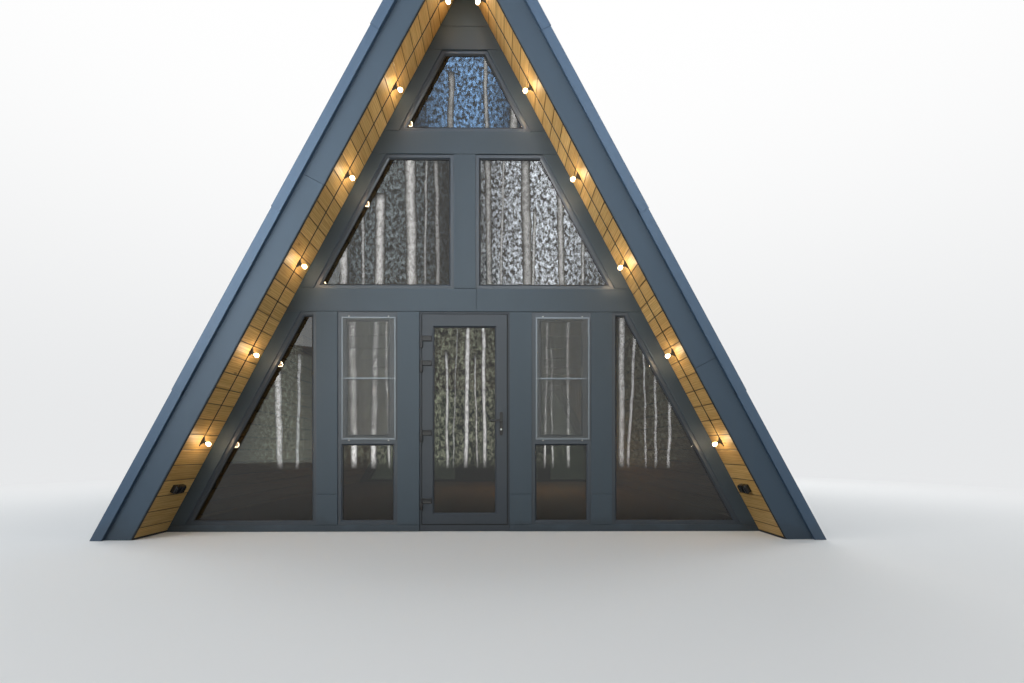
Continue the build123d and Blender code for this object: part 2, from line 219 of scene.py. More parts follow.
def joinAs(name, parts):
    selectOnly(*parts)
    if len(parts) > 1:
        bpy.ops.object.join()
    joined = bpy.context.object
    joined.name = name
    joined.data.name = name
    return joined


def copyOf(obj, name):
    twin = obj.copy()
    twin.data = obj.data.copy()
    twin.name = name
    bpy.context.scene.collection.objects.link(twin)
    return twin


def smooth(obj, angle=35):
    selectOnly(obj)
    bpy.ops.object.shade_smooth_by_angle(angle=math.radians(angle))


def selectFaces(obj, test):
    # leaves the object in edit mode with only the faces selected that pass the test
    editAll(obj, "FACE")
    bpy.ops.mesh.select_all(action="DESELECT")
    leaveEdit()
    for face in obj.data.polygons:
        face.select = test(face)
    bpy.ops.object.mode_set(mode="EDIT")


def finishPiece(obj, body, material, replaced=()):
    obj.data.materials.clear()
    obj.data.materials.append(material)
    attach(obj, body)
    if replaced:
        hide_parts(*replaced)


def finishParts(name, parts, body, material, replaced=(), rounded=False):
    piece = joinAs(name, parts)
    if rounded:
        smooth(piece)
    finishPiece(piece, body, material, replaced)


# Shader helpers
def fillSockets(tree, node, values):
    # each input takes a link or a plain value
    for key, value in values.items():
        if isinstance(value, bpy.types.NodeSocket):
            tree.links.new(value, node.inputs[key])
        else:
            node.inputs[key].default_value = value


def addNode(tree, kind, inputs=None, **settings):
    node = tree.nodes.new(kind)
    for key, value in settings.items():
        setattr(node, key, value)
    fillSockets(tree, node, inputs or {})
    return node


def newGroup(name, inputs, outputs):
    group = bpy.data.node_groups.new(name, "ShaderNodeTree")
    for label, kind, value in inputs:
        socket = group.interface.new_socket(name=label, in_out="INPUT", socket_type="NodeSocket" + kind)
        if value is not None:
            socket.default_value = value
    for label in outputs:
        group.interface.new_socket(name=label, in_out="OUTPUT", socket_type="NodeSocketFloat")
    entry = group.nodes.new("NodeGroupInput")
    leave = group.nodes.new("NodeGroupOutput")
    return group, entry.outputs, leave


def useGroup(tree, group, **inputs):
    return addNode(tree, "ShaderNodeGroup", inputs, node_tree=group).outputs


def calc(tree, operation, *values):
    return addNode(tree, "ShaderNodeMath", dict(enumerate(values)), operation=operation).outputs[0]


def mixColours(tree, factor, first, second, blend="MIX"):
    # inputs 0, 6 and 7 are the factor and the two colours
    node = addNode(tree, "ShaderNodeMix", {}, data_type="RGBA", blend_type=blend)
    fillSockets(tree, node, {0: factor, 6: first, 7: second})
    return node.outputs[2]


def remap(tree, value, fromLow, fromHigh, toLow=0.0, toHigh=1.0):
    node = addNode(tree, "ShaderNodeMapRange", {"Value": value, "From Min": fromLow, "From Max": fromHigh,
                                               "To Min": toLow, "To Max": toHigh})
    node.interpolation_type = "SMOOTHSTEP"
    return node.outputs[0]


def noise(tree, place, scale, detail, **more):
    inputs = {"Vector": place, "Scale": scale, "Detail": detail, **more}
    return addNode(tree, "ShaderNodeTexNoise", inputs).outputs["Fac"]


def splitAxes(tree, vector):
    return addNode(tree, "ShaderNodeSeparateXYZ", {"Vector": vector}).outputs


def joinAxes(tree, x, y, z):
    return addNode(tree, "ShaderNodeCombineXYZ", {"X": x, "Y": y, "Z": z}).outputs[0]


def tint(red, green, blue):
    # a colour written as it looks, in 0 to 255, made linear for the shaders
    def linear(value):
        value /= 255
        return value / 12.92 if value <= 0.04045 else ((value + 0.055) / 1.055) ** 2.4
    return linear(red), linear(green), linear(blue), 1.0


# Patches of slightly lighter and darker tone, a broad one and a fine one
def makeMottle():
    look = {"fineness": 7.0, "broadShare": 1.4, "middle": 1.2}
    inputs = (("Vector", "Vector", None), ("Size", "Float", 0.6), ("Amount", "Float", 0.1))
    tree, given, out = newGroup("toneMottle", inputs, ("Tone",))
    scale = calc(tree, "DIVIDE", 1.0, given["Size"])
    broad = noise(tree, given["Vector"], scale, detail=3.0)
    fine = noise(tree, given["Vector"], calc(tree, "MULTIPLY", scale, look["fineness"]), detail=4.0)
    both = calc(tree, "MULTIPLY_ADD", broad, look["broadShare"], fine)
    centred = calc(tree, "SUBTRACT", both, look["middle"])
    fillSockets(tree, out, {"Tone": calc(tree, "MULTIPLY_ADD", centred, given["Amount"], 1.0)})
    return tree


# Fine relief of a coated or moulded surface
def makeGrain():
    look = {"coarseScale": 0.08, "coarseShare": 2.0}
    inputs = (("Vector", "Vector", None), ("Size", "Float", 0.002))
    tree, given, out = newGroup("fineGrain", inputs, ("Height",))
    scale = calc(tree, "DIVIDE", 1.0, given["Size"])
    grain = noise(tree, given["Vector"], scale, detail=2.0)
    coarse = noise(tree, given["Vector"], calc(tree, "MULTIPLY", scale, look["coarseScale"]), detail=3.0)
    fillSockets(tree, out, {"Height": calc(tree, "MULTIPLY_ADD", coarse, look["coarseShare"], grain)})
    return tree


# Narrow runs that rain leaves down the surface, and a ragged mask near the ground, which the coated
# materials fill with painted shade on the walls, roof, fascias and frames and with a dust splash on the rest
def makeRunsAndGround():
    look = {"stretch": (9.0, 9.0, 0.45), "runs": (0.52, 0.74), "ragged": 1.1, "nearGround": (0.0, 0.5)}
    inputs = (("Vector", "Vector", None), ("Reach", "Float", 1.2))
    tree, given, out = newGroup("runsAndGroundMask", inputs, ("Runs", "GroundMask"))
    stretched = addNode(tree, "ShaderNodeMapping", {"Vector": given["Vector"], "Scale": look["stretch"]})
    runs = noise(tree, stretched.outputs[0], scale=1.6, detail=4.0, Roughness=0.62)
    rough = noise(tree, given["Vector"], scale=5.0, detail=5.0)
    ragged = calc(tree, "MULTIPLY", rough, look["ragged"])
    height = calc(tree, "DIVIDE", splitAxes(tree, given["Vector"])["Z"], given["Reach"])
    near = calc(tree, "SUBTRACT", ragged, height)
    fillSockets(tree, out, {"Runs": remap(tree, runs, *look["runs"]),
                            "GroundMask": remap(tree, near, *look["nearGround"])})
    return tree


# Boards: X along the grain, Y across the boards. Gives a tone for each board, its grain, its knots and a
# mask along the joints for dirt and painted shade there
def makeBoards():
    look = {"joint": (0.6, 1.1), "shift": 57.0, "grainScale": (1.6, 26.0), "bands": 0.26,
            "knotScale": (2.1, 4.6, 40.0), "knot": (0.035, 0.075), "knotHeight": -0.6}
    inputs = (("Vector", "Vector", None), ("Width", "Float", 0.166), ("JointWidth", "Float", 0.006),
              ("Seed", "Float", 0.0))
    tree, given, out = newGroup("boardGrain", inputs, ("BoardTone", "Grain", "Knot", "JointDirtAndShade", "Height"))
    place = splitAxes(tree, given["Vector"])
    index = calc(tree, "FLOOR", calc(tree, "DIVIDE", place["Y"], given["Width"]))
    tone = addNode(tree, "ShaderNodeTexWhiteNoise", {"W": calc(tree, "ADD", index, given["Seed"])},
                   noise_dimensions="1D").outputs["Value"]
    offCentre = calc(tree, "PINGPONG", place["Y"], calc(tree, "MULTIPLY", given["Width"], 0.5))
    near = calc(tree, "DIVIDE", offCentre, given["JointWidth"])
    along = calc(tree, "MULTIPLY_ADD", tone, look["shift"], place["X"])
    grainX, grainY = look["grainScale"]
    grainPlace = joinAxes(tree, calc(tree, "MULTIPLY", along, grainX),
                          calc(tree, "MULTIPLY", place["Y"], grainY), place["Z"])
    rings = noise(tree, grainPlace, scale=1.7, detail=6.0, Roughness=0.62, Distortion=0.7)
    bands = addNode(tree, "ShaderNodeTexWave", {"Vector": grainPlace, "Scale": 0.6, "Distortion": 11.0,
                                               "Detail": 3.0}, bands_direction="Y").outputs["Fac"]
    grain = calc(tree, "MULTIPLY_ADD", bands, look["bands"], rings)
    knotPlace = joinAxes(tree, *(calc(tree, "MULTIPLY", value, scale)
                                 for value, scale in zip((along, place["Y"], tone), look["knotScale"])))
    knots = addNode(tree, "ShaderNodeTexVoronoi", {"Vector": knotPlace, "Scale": 1.0})
    knot = remap(tree, knots.outputs["Distance"], *look["knot"], 1.0, 0.0)
    fillSockets(tree, out, {"BoardTone": tone, "Grain": grain, "Knot": knot,
                            "JointDirtAndShade": remap(tree, near, *look["joint"], 1.0, 0.0),
                            "Height": calc(tree, "MULTIPLY_ADD", knot, look["knotHeight"], grain)})
    return tree


toneMottle, fineGrain, runsAndGroundMask, boardGrain = makeMottle(), makeGrain(), makeRunsAndGround(), makeBoards()


def newMaterial(name):
    material = bpy.data.materials.new(name)
    material.use_nodes = True
    tree = material.node_tree
    shader = tree.nodes["Principled BSDF"]
    place = tree.nodes.new("ShaderNodeTexCoord").outputs["Object"]
    return material, tree, shader, place


def scaled(tree, colour, tone):
    # a colour made lighter or darker by a value
    grey = addNode(tree, "ShaderNodeCombineColor", {"Red": tone, "Green": tone, "Blue": tone})
    return mixColours(tree, 1.0, colour, grey.outputs[0], "MULTIPLY")


def addRelief(tree, height, strength, distance):
    inputs = {"Height": height, "Strength": strength, "Distance": distance}
    return addNode(tree, "ShaderNodeBump", inputs).outputs["Normal"]


# Coated or painted building surfaces share one recipe, and each names what differs
def coatedMaterial(name, settings):
    look = {"groundShadeAndDust": settings["dust"], "patch": 0.1, "tone": 0.10, "runs": 0.03, "nearGround": 0.1,
            "groundReach": 0.2, "grain": 0.0008, "relief": 0.12, "metallic": 0.0, "specular": 0.5,
            "runsDull": 0.08, "groundDull": 0.4, "toneDull": 0.5, **settings}
    material, tree, shader, place = newMaterial(name)
    mottle = useGroup(tree, toneMottle, Vector=place, Size=look["patch"], Amount=look["tone"])["Tone"]
    rain = useGroup(tree, runsAndGroundMask, Vector=place, Reach=look["groundReach"])
    grain = useGroup(tree, fineGrain, Vector=place, Size=look["grain"])["Height"]
    dusty = calc(tree, "MULTIPLY", rain["Runs"], look["runs"])
    colour = mixColours(tree, dusty, scaled(tree, look["colour"], mottle), look["dust"])
    # near the ground the colour goes to the ground tone: a darker painted shade on the walls, roof, fascias
    # and frames, a dust splash on the rest
    groundShare = calc(tree, "MULTIPLY", rain["GroundMask"], look["nearGround"])
    dull = calc(tree, "MULTIPLY_ADD", rain["Runs"], look["runsDull"], look["roughness"])
    dull = calc(tree, "MULTIPLY_ADD", groundShare, look["groundDull"], dull)
    dull = calc(tree, "MULTIPLY_ADD", calc(tree, "SUBTRACT", mottle, 1.0), look["toneDull"], dull)
    fillSockets(tree, shader, {
        "Base Color": mixColours(tree, groundShare, colour, look["groundShadeAndDust"]), "Roughness": dull,
        "Metallic": look["metallic"], "Specular IOR Level": look["specular"],
        "Normal": addRelief(tree, grain, look["relief"], look["grain"])})
    return material


# The darker ground tones given below are painted shade near the ground
roofMetal = coatedMaterial("roofMetal", {
    "colour": tint(70, 93, 117), "dust": tint(112, 118, 122), "groundShadeAndDust": tint(62, 60, 56), "patch": 1.4,
    "runs": 0.12, "nearGround": 0.25, "groundReach": 0.5, "grain": 0.0025, "relief": 0.10, "roughness": 0.40,
    "metallic": 0.25})
fasciaPaint = coatedMaterial("fasciaPaint", {
    "colour": tint(70, 88, 105), "dust": tint(104, 110, 112), "groundShadeAndDust": tint(52, 52, 50), "patch": 1.8,
    "tone": 0.09, "runs": 0.06, "nearGround": 0.3, "groundReach": 0.5, "grain": 0.002, "relief": 0.14,
    "roughness": 0.5, "specular": 0.3})
wallPaint = coatedMaterial("wallPaint", {
    "colour": tint(67, 80, 91), "dust": tint(98, 98, 94), "groundShadeAndDust": tint(44, 44, 44), "patch": 1.2,
    "tone": 0.08, "runs": 0.05, "nearGround": 0.35, "groundReach": 0.3, "grain": 0.002, "roughness": 0.48,
    "specular": 0.3})
profileLook = {"dust": tint(96, 96, 92), "groundShadeAndDust": tint(44, 44, 44), "patch": 0.5, "tone": 0.06,
               "nearGround": 0.2, "groundReach": 0.3, "grain": 0.0012}
frameProfile = coatedMaterial("frameProfile", {
    **profileLook, "colour": tint(60, 69, 79), "roughness": 0.32, "specular": 0.4})
doorProfile = coatedMaterial("doorProfile", {
    **profileLook, "colour": tint(58, 65, 74), "roughness": 0.36, "specular": 0.3})
screenMetal = coatedMaterial("screenMetal", {
    "colour": tint(104, 111, 118), "dust": tint(130, 128, 122), "patch": 0.4, "tone": 0.06, "runs": 0.04,
    "groundReach": 0.3, "grain": 0.0015, "relief": 0.10, "roughness": 0.34, "metallic": 0.5})
blackMetal = coatedMaterial("blackMetal", {
    "colour": tint(30, 31, 34), "dust": tint(70, 68, 64), "patch": 0.12, "tone": 0.12, "runs": 0.02,
    "roughness": 0.36, "metallic": 0.4})
blackPlastic = coatedMaterial("blackPlastic", {
    "colour": tint(27, 27, 29), "dust": tint(70, 66, 60), "grain": 0.0007, "relief": 0.25,
    "roughness": 0.46})
rubber = coatedMaterial("sealRubber", {
    "colour": tint(20, 20, 21), "dust": tint(60, 58, 54), "runs": 0.02, "grain": 0.0006,
    "roughness": 0.7})
meshWire = coatedMaterial("meshWire", {
    "colour": tint(140, 142, 140), "dust": tint(150, 148, 138), "patch": 0.2, "tone": 0.12, "runs": 0.08,
    "grain": 0.0006, "relief": 0.05, "roughness": 0.6})
studSteel = coatedMaterial("studSteel", {
    "colour": tint(176, 176, 172), "dust": tint(120, 116, 108), "patch": 0.05, "tone": 0.12,
    "runs": 0.05, "relief": 0.08, "roughness": 0.28, "metallic": 0.9})
socketPlastic = coatedMaterial("socketPlastic", {
    "colour": tint(24, 24, 26), "dust": tint(70, 66, 60), "grain": 0.001, "relief": 0.10,
    "roughness": 0.26})


# Boarded wood: a tone for each board, its grain, some knots and dark joints, which are dirt and painted
# shade in the grooves
def woodMaterial(name, settings):
    look = {"firstJoint": 0.0, "seedSpread": 40.0, "levelSeed": 7.0, "depthScale": 0.2, "warmPicks": 7.0,
            "grainTone": (0.36, 0.88), "grainGloss": (0.3, 1.0), "glossier": 0.06, "duller": 0.08,
            "knots": 0.6, "joints": 0.85, "relief": 0.25, "reliefDepth": 0.002, **settings}
    material, tree, shader, place = newMaterial(name)
    axes = splitAxes(tree, place)
    if look["lies"] == "slope":      # boards follow the roof slopes, the same way up on both sides
        inwards = calc(tree, "SUBTRACT", innerHalf, calc(tree, "ABSOLUTE", axes["X"]))
        across = calc(tree, "MULTIPLY_ADD", axes["Z"], slopeSin, calc(tree, "MULTIPLY", inwards, slopeCos))
        across = calc(tree, "SUBTRACT", across, look["firstJoint"])
        along, deep = axes["Y"], axes["X"]
        seed = calc(tree, "MULTIPLY", calc(tree, "SIGN", axes["X"]), look["seedSpread"])
    else:
        across, along, deep, seed = axes["X"], axes["Y"], axes["Z"], look["levelSeed"]
    board = joinAxes(tree, along, across, calc(tree, "MULTIPLY", deep, look["depthScale"]))
    wood = useGroup(tree, boardGrain, Vector=board, Width=look["width"], Seed=seed,
                    JointWidth=look["jointWidth"])
    colour = mixColours(tree, remap(tree, wood["Grain"], *look["grainTone"]), look["light"], look["dark"])
    spread = look["spread"]
    colour = scaled(tree, colour, remap(tree, wood["BoardTone"], 0.0, 1.0, 1.0 - spread, 1.0 + spread))
    warm = calc(tree, "FRACT", calc(tree, "MULTIPLY", wood["BoardTone"], look["warmPicks"]))
    # the joint tone darkens the board edges: dirt and painted shade in the joints
    for mask, share, tone in ((warm, look["warmth"], look["warm"]),
                              (wood["Knot"], look["knots"], look["knot"]),
                              (wood["JointDirtAndShade"], look["joints"], look["joint"])):
        colour = mixColours(tree, calc(tree, "MULTIPLY", mask, share), colour, tone)
    dull = remap(tree, wood["Grain"], *look["grainGloss"], look["roughness"] - look["glossier"],
                 look["roughness"] + look["duller"])
    fillSockets(tree, shader, {
        "Base Color": colour, "Roughness": dull,
        "Normal": addRelief(tree, wood["Height"], look["relief"], look["reliefDepth"])})
    return material


boardPitch, firstJoint = 0.1675, 0.128
# The joint colours below are dirt and painted shade in the board joints
pineBoards = woodMaterial("pineBoards", {
    "lies": "slope", "width": boardPitch, "firstJoint": firstJoint, "jointWidth": 0.0055,
    "light": tint(218, 184, 122), "dark": tint(184, 146, 84), "warm": tint(200, 158, 92), "warmth": 0.35,
    "spread": 0.13, "knot": tint(120, 82, 44), "joint": tint(44, 30, 18), "roughness": 0.46})
floorWood = woodMaterial("floorWood", {
    "lies": "level", "width": 0.14, "jointWidth": 0.002, "light": tint(170, 132, 92),
    "dark": tint(122, 88, 56), "warm": tint(150, 104, 66), "warmth": 0.3, "spread": 0.12,
    "knot": tint(74, 50, 32), "joint": tint(38, 26, 18), "roughness": 0.42})
roofTimber = woodMaterial("roofTimber", {
    "lies": "slope", "width": 0.2, "jointWidth": 0.002, "light": tint(196, 166, 122),
    "dark": tint(150, 118, 78), "warm": tint(176, 136, 88), "warmth": 0.3, "spread": 0.1,
    "knot": tint(96, 64, 38), "joint": tint(60, 44, 28), "roughness": 0.7})


def glassMaterial():
    look = {"tintColour": tint(100, 106, 97), "ior": 1.5, "wave": 0.03, "waveSize": 0.4, "waveDepth": 0.02,
            "smearSize": 0.25, "smear": 0.01, "clear": 0.995}
    material, tree, shader, place = newMaterial("coatedGlass")
    waves = noise(tree, place, 1 / look["waveSize"], detail=1.0)
    smear = useGroup(tree, toneMottle, Vector=place, Size=look["smearSize"], Amount=look["smear"])["Tone"]
    fillSockets(tree, shader, {
        "Base Color": look["tintColour"], "Transmission Weight": 1.0, "IOR": look["ior"],
        "Roughness": calc(tree, "MAXIMUM", calc(tree, "SUBTRACT", smear, look["clear"]), 0.0),
        "Normal": addRelief(tree, waves, look["wave"], look["waveDepth"])})
    return material


def bulbMaterial():
    look = {"glass": (1.0, 0.86, 0.66, 1.0), "glow": (1.0, 0.68, 0.36, 1.0), "strength": 11.0,
            "frostSize": 0.002, "frost": (0.8, 1.8), "roughness": (0.25, 0.4)}
    material, tree, shader, place = newMaterial("bulbGlow")
    frost = useGroup(tree, fineGrain, Vector=place, Size=look["frostSize"])["Height"]
    fillSockets(tree, shader, {
        "Base Color": look["glass"], "Emission Color": look["glow"], "Emission Strength": look["strength"],
        "Roughness": remap(tree, frost, *look["frost"], *look["roughness"])})
    return material


coatedGlass, bulbGlow = glassMaterial(), bulbMaterial()
slotMaterials = {
    "roof_metal": roofMetal, "roof_timber": roofTimber, "pine_boards": pineBoards, "wall_panels": wallPaint,
    "window_frames": frameProfile, "screen_frames": screenMetal, "window_glass": coatedGlass,
    "door_profiles": doorProfile, "black_metal": blackMetal, "floor_boards": floorWood,
    "black_plastic": blackPlastic, "bulb_glass": bulbGlow}
for row in frame["record"]["subparts"]:
    nodeMesh = nodes[row["node"]].data
    nodeMesh.materials.clear()
    nodeMesh.materials.append(slotMaterials[row["material_slot"]])
for name in ("left_fascias", "right_fascias"):
    nodes[name].data.materials[0] = fasciaPaint
print("stage: materials made")


# Lines of the gable walls
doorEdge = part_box("door_frame")[1].x
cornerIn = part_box("front_right_panels")[1].x
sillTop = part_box("front_sill")[1].z
beamLow, beamHigh = (corner.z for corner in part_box("front_floor_beam"))
upperLow, upperHigh = (corner.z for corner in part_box("front_upper_beam"))
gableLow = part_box("front_gable_panel")[0].z
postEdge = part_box("front_centre_post")[1].x
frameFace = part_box("front_upper_window_frames")[0].y
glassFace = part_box("front_upper_window_glass")[0].y
rafterBand = 0.140                               # boards along the slopes, measured square to them
doorPanel, cornerPanel = 0.230, 0.220            # widths of the wall panels beside the side windows
windowIn, windowOut = doorEdge + doorPanel, cornerIn - cornerPanel
frameWidth = 0.045
sashWidth = 0.050
transomLow, transomHigh = 0.901, 0.953


# Wall cladding: boards with eased edges and open joints over a solid core
def cladPiece(gable, low, high, planes=(), jointsX=(), jointsZ=()):
    look = {"skin": 0.012, "joint": 0.003, "edge": 0.0012}
    half = look["joint"] / 2
    y0, y1 = span(gable, wallFace - look["skin"], wallBack)
    core = addBlock("core", (low[0], y0, low[1]), (high[0], y1, high[1]))
    sliceOff(core, planes)
    parts = [core]
    y0, y1 = span(gable, wallFace, wallFace - look["skin"])
    acrossX, acrossZ = [low[0], *jointsX, high[0]], [low[1], *jointsZ, high[1]]
    for x0, x1 in zip(acrossX, acrossX[1:]):
        for z0, z1 in zip(acrossZ, acrossZ[1:]):
            board = addBlock("board", (x0 + half, y0, z0 + half), (x1 - half, y1, z1 - half))
            sliceOff(board, [(point - normal * half, normal) for point, normal in planes])
            softenEdges(board, look["edge"])
            parts.append(board)
    return parts


def cladRafters(gable, side):
    parts = []
    point, normal = slopePlane(side, -rafterBand)
    for low, high in ((sillTop, beamLow), (beamHigh, upperLow), (upperHigh, gableLow)):
        x0, x1 = span(side, soffitX(high, -rafterBand) - spare, soffitX(low) + spare)
        parts += cladPiece(gable, (x0, low), (x1, high), [slopePlane(side), (point, -normal)])
    return parts


def finishCladding(name, parts, node):
    finishParts(name, parts, "root", wallPaint, [node])


def makeWalls():
    look = {"beamJoint": (0.122,), "gableJoint": (5.26,), "panelJoint": (0.39,)}
    front, rear = -1, 1
    wide = innerHalf + spare
    both = [slopePlane(-1), slopePlane(1)]
    floorBeam, upperBeam = ((-wide, beamLow), (wide, beamHigh)), ((-wide, upperLow), (wide, upperHigh))
    centrePost = ((-postEdge, beamHigh), (postEdge, upperLow))
    gablePanel = ((-wide, gableLow), (wide, innerApex + spare))
    for side, name in bothSides:
        parts = []
        for near, far in ((doorEdge, windowIn), (windowOut, cornerIn)):
            x0, x1 = span(side, near, far)
            joints = look["panelJoint"] if side > 0 or far == cornerIn else ()
            parts += cladPiece(front, (x0, sillTop), (x1, beamLow), jointsZ=joints)
        finishCladding(name + "PanelBoards", parts, f"front_{name}_panels")
        finishCladding(name + "RafterBoards", cladRafters(front, side), f"front_{name}_rafter_boards")
    finishCladding("floorBeamBoards", cladPiece(front, *floorBeam, both, look["beamJoint"]),
                   "front_floor_beam")
    finishCladding("upperBeamBoards", cladPiece(front, *upperBeam, both), "front_upper_beam")
    finishCladding("centrePostBoards", cladPiece(front, *centrePost, both), "front_centre_post")
    finishCladding("gablePanelBoards", cladPiece(front, *gablePanel, both, jointsZ=look["gableJoint"]),
                   "front_gable_panel")
    parts = []
    for side in (-1, 1):
        x0, x1 = span(side, doorEdge, wide)
        parts += cladPiece(front, (x0, 0), (x1, sillTop), [slopePlane(side)])
    finishCladding("frontSillBoards", parts, "front_sill")

    finishCladding("rearSillBoards", cladPiece(rear, (-wide, 0), (wide, sillTop), both), "rear_sill")
    parts = cladPiece(rear, (-windowIn, sillTop), (windowIn, beamLow), [], (-doorEdge, doorEdge),
                      look["panelJoint"])
    parts += cladPiece(rear, *centrePost)
    parts += cladPiece(rear, *gablePanel, both, jointsZ=look["gableJoint"])
    for side in (-1, 1):
        x0, x1 = span(side, windowOut, cornerIn)
        parts += cladPiece(rear, (x0, sillTop), (x1, beamLow), jointsZ=look["panelJoint"])
    finishCladding("rearPanelBoards", parts, "rear_panels")
    finishCladding("rearRafterBoards", cladRafters(rear, -1) + cladRafters(rear, 1), "rear_rafter_boards")
    parts = cladPiece(rear, *floorBeam, both, look["beamJoint"]) + cladPiece(rear, *upperBeam, both)
    finishCladding("rearBeamBoards", parts, "rear_beams")


makeWalls()
print("stage: walls clad")


# Soffit and ceiling boards, each with chamfered edges that make a V joint
def makeLining(side, name):
    look = {"gap": 0.002, "chamfer": 0.005, "thickness": 0.020, "extraBoards": 3}
    half = look["gap"] / 2
    boards = addBlock(name + "CeilingBoards", (half, -liningEnd, 0),
                      (boardPitch - half, liningEnd, look["thickness"]))
    editAll(boards, "EDGE")
    bpy.ops.mesh.select_all(action="DESELECT")
    leaveEdit()
    for edge in boards.data.edges:           # the two long edges that show from below
        ends = [boards.data.vertices[index].co for index in edge.vertices]
        edge.select = all(end.z < tiny for end in ends) and abs(ends[0].x - ends[1].x) < tiny
    bpy.ops.object.mode_set(mode="EDIT")
    bpy.ops.mesh.bevel(offset=look["chamfer"], segments=1, affect="EDGES")
    leaveEdit()
    repeat(boards, int(slopeRun / boardPitch) + look["extraBoards"], (boardPitch, 0, 0))
    transformMesh(boards, slopeMatrix(side) @ Matrix.Translation((firstJoint - boardPitch, 0, 0)))
    sliceOff(boards, endPlanes(side))
    finishPiece(boards, "root", pineBoards, [f"{name}_roof_lining"])


def makeFootStrips():
    look = {"height": 0.022, "thickness": 0.006}
    strips = []
    for side in (-1, 1):
        for gable in (-1, 1):
            y0, y1 = span(gable, wallFace, liningEnd)
            strip = addBlock("strip", (-spare, y0, -look["thickness"]), (look["height"], y1, 0))
            layOnSlope(strip, side, endPlanes(side)[:1])
            strips.append(strip)
    finishParts("soffitFootStrips", strips, "root", rubber)


for side, name in bothSides:
    makeLining(side, name)
makeFootStrips()
print("stage: ceilings boarded")


# Fascias in two lengths, with a black strip along the soffit edge as painted shade, and a shadow gap under
# the verge cap
def makeFascias(side, name):
    # the seam band left below the boards shows the black strip: painted shade
    look = {"thickness": 0.020, "seam": 0.008, "shadowStripSink": 0.007, "shadow": 0.001, "joint": 0.003,
            "edge": 0.0015, "jointRun": {-1: 3.80, 1: 1.84}}
    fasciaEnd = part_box(f"{name}_fascias")[1].y
    half = look["joint"] / 2
    boards, seams = [], []
    for gable in (-1, 1):
        y0, y1 = span(gable, fasciaEnd, fasciaEnd - look["thickness"])
        stops = [runLow, look["jointRun"][side * -gable], runHigh]
        for start, end in zip(stops, stops[1:]):
            board = addBlock("fascia", (start + half, y0, look["seam"]),
                             (end - half, y1, fasciaTop - look["shadow"]))
            layOnSlope(board, side, endPlanes(side))
            softenEdges(board, look["edge"])
            boards.append(board)
        # the black strip set back under the fascia boards is painted shade in the gap to the soffit
        y0, y1 = span(gable, fasciaEnd - look["shadowStripSink"], fasciaEnd - look["thickness"])
        seam = addBlock("seam", (runLow, y0, 0), (runHigh, y1, fasciaTop))
        layOnSlope(seam, side, endPlanes(side))
        seams.append(seam)
    finishParts(name + "FasciaBoards", boards, "root", fasciaPaint, [f"{name}_fascias"])
    finishParts(name + "FasciaShadowStrips", seams, "root", rubber)


# Verge caps in two metre lengths of folded sheet, each lapped over the one below
def makeVergeCaps(side, name):
    look = {"joints": (1.43, 3.38, 5.33), "lap": 0.05, "flare": 0.004, "flareZone": 0.01, "sheet": 0.0035,
            "edge": 0.0012}
    sheet, flare = look["sheet"], look["flare"]
    face, back, top = vergeEnd - flare, vergeEnd - vergeBack, vergeTop - flare
    # depths and heights of the front, top, back and bottom legs
    legs = (((face, face - sheet), (fasciaTop, top)), ((face, back), (top - sheet, top)),
            ((back + sheet, back), (sheetFace, top)), ((face, liningEnd), (fasciaTop, fasciaTop + sheet)))
    stops = [runLow, *look["joints"], runHigh]
    caps = []
    for gable in (-1, 1):
        for start, end in zip(stops, stops[1:]):
            parts = []
            for (near, far), (low, high) in legs:
                y0, y1 = span(gable, near, far)
                parts.append(addBlock("leg", (start, y0, low), (end + look["lap"], y1, high)))
            cap = joinAs("cap", parts)
            for vertex in cap.data.vertices:          # the lower end is opened to lap over the next length
                if vertex.co.x < start + tiny:
                    vertex.co.y += gable * flare * (abs(vertex.co.y) > vergeEnd - look["flareZone"])
                    vertex.co.z += flare * (vertex.co.z > top - look["flareZone"])
            softenEdges(cap, look["edge"])
            layOnSlope(cap, side, endPlanes(side))
            caps.append(cap)
    finishParts(name + "VergeSheets", caps, "root", roofMetal, [f"{name}_verge_caps"])


# Standing-seam sheets: pans with two faint ribs, seams with a folded top
def makeSheeting(side, name):
    look = {"seam": 0.004, "seamHeight": 0.030, "fold": 0.0085, "foldHeight": 0.009, "pitch": 0.5,
            "rib": 0.014, "ribHeight": 0.0016, "ribPlaces": (1 / 3, 2 / 3), "ribEdge": 0.9, "edge": 0.0012}
    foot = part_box(f"{name}_roof_sheeting")[0].z
    seamTop, sunk = sheetFace + look["seamHeight"], sheetFace - tiny
    count = int((2 * (vergeEnd - vergeBack) - look["pitch"]) / look["pitch"]) + 1
    first = -(count - 1) / 2 * look["pitch"]

    def addStrip(part, middle, width, low, high):
        return addBlock(part, (runLow, middle - width / 2, low), (runHigh, middle + width / 2, high))

    pans = addBlock("pans", (runLow, -liningEnd, sheetBase), (runHigh, liningEnd, sheetFace))
    seam = addStrip("seam", first, look["seam"], sunk, seamTop)
    fold = addStrip("fold", first, look["fold"], seamTop - look["foldHeight"], seamTop)
    softenEdges(fold, look["edge"], 2)
    seams = joinAs("seams", [seam, fold])
    repeat(seams, count, (0, look["pitch"], 0))
    ribs = []
    for share in look["ribPlaces"]:
        middle = first - look["pitch"] * (1 - share)
        rib = addStrip("rib", middle, look["rib"], sunk, sheetFace + look["ribHeight"])
        softenEdges(rib, look["ribHeight"] * look["ribEdge"])
        repeat(rib, count + 1, (0, look["pitch"], 0))
        ribs.append(rib)
    sheeting = joinAs(name + "SeamSheets", [pans, seams, *ribs])
    layOnSlope(sheeting, side, endPlanes(side, foot))
    finishPiece(sheeting, "root", roofMetal, [f"{name}_roof_sheeting"])


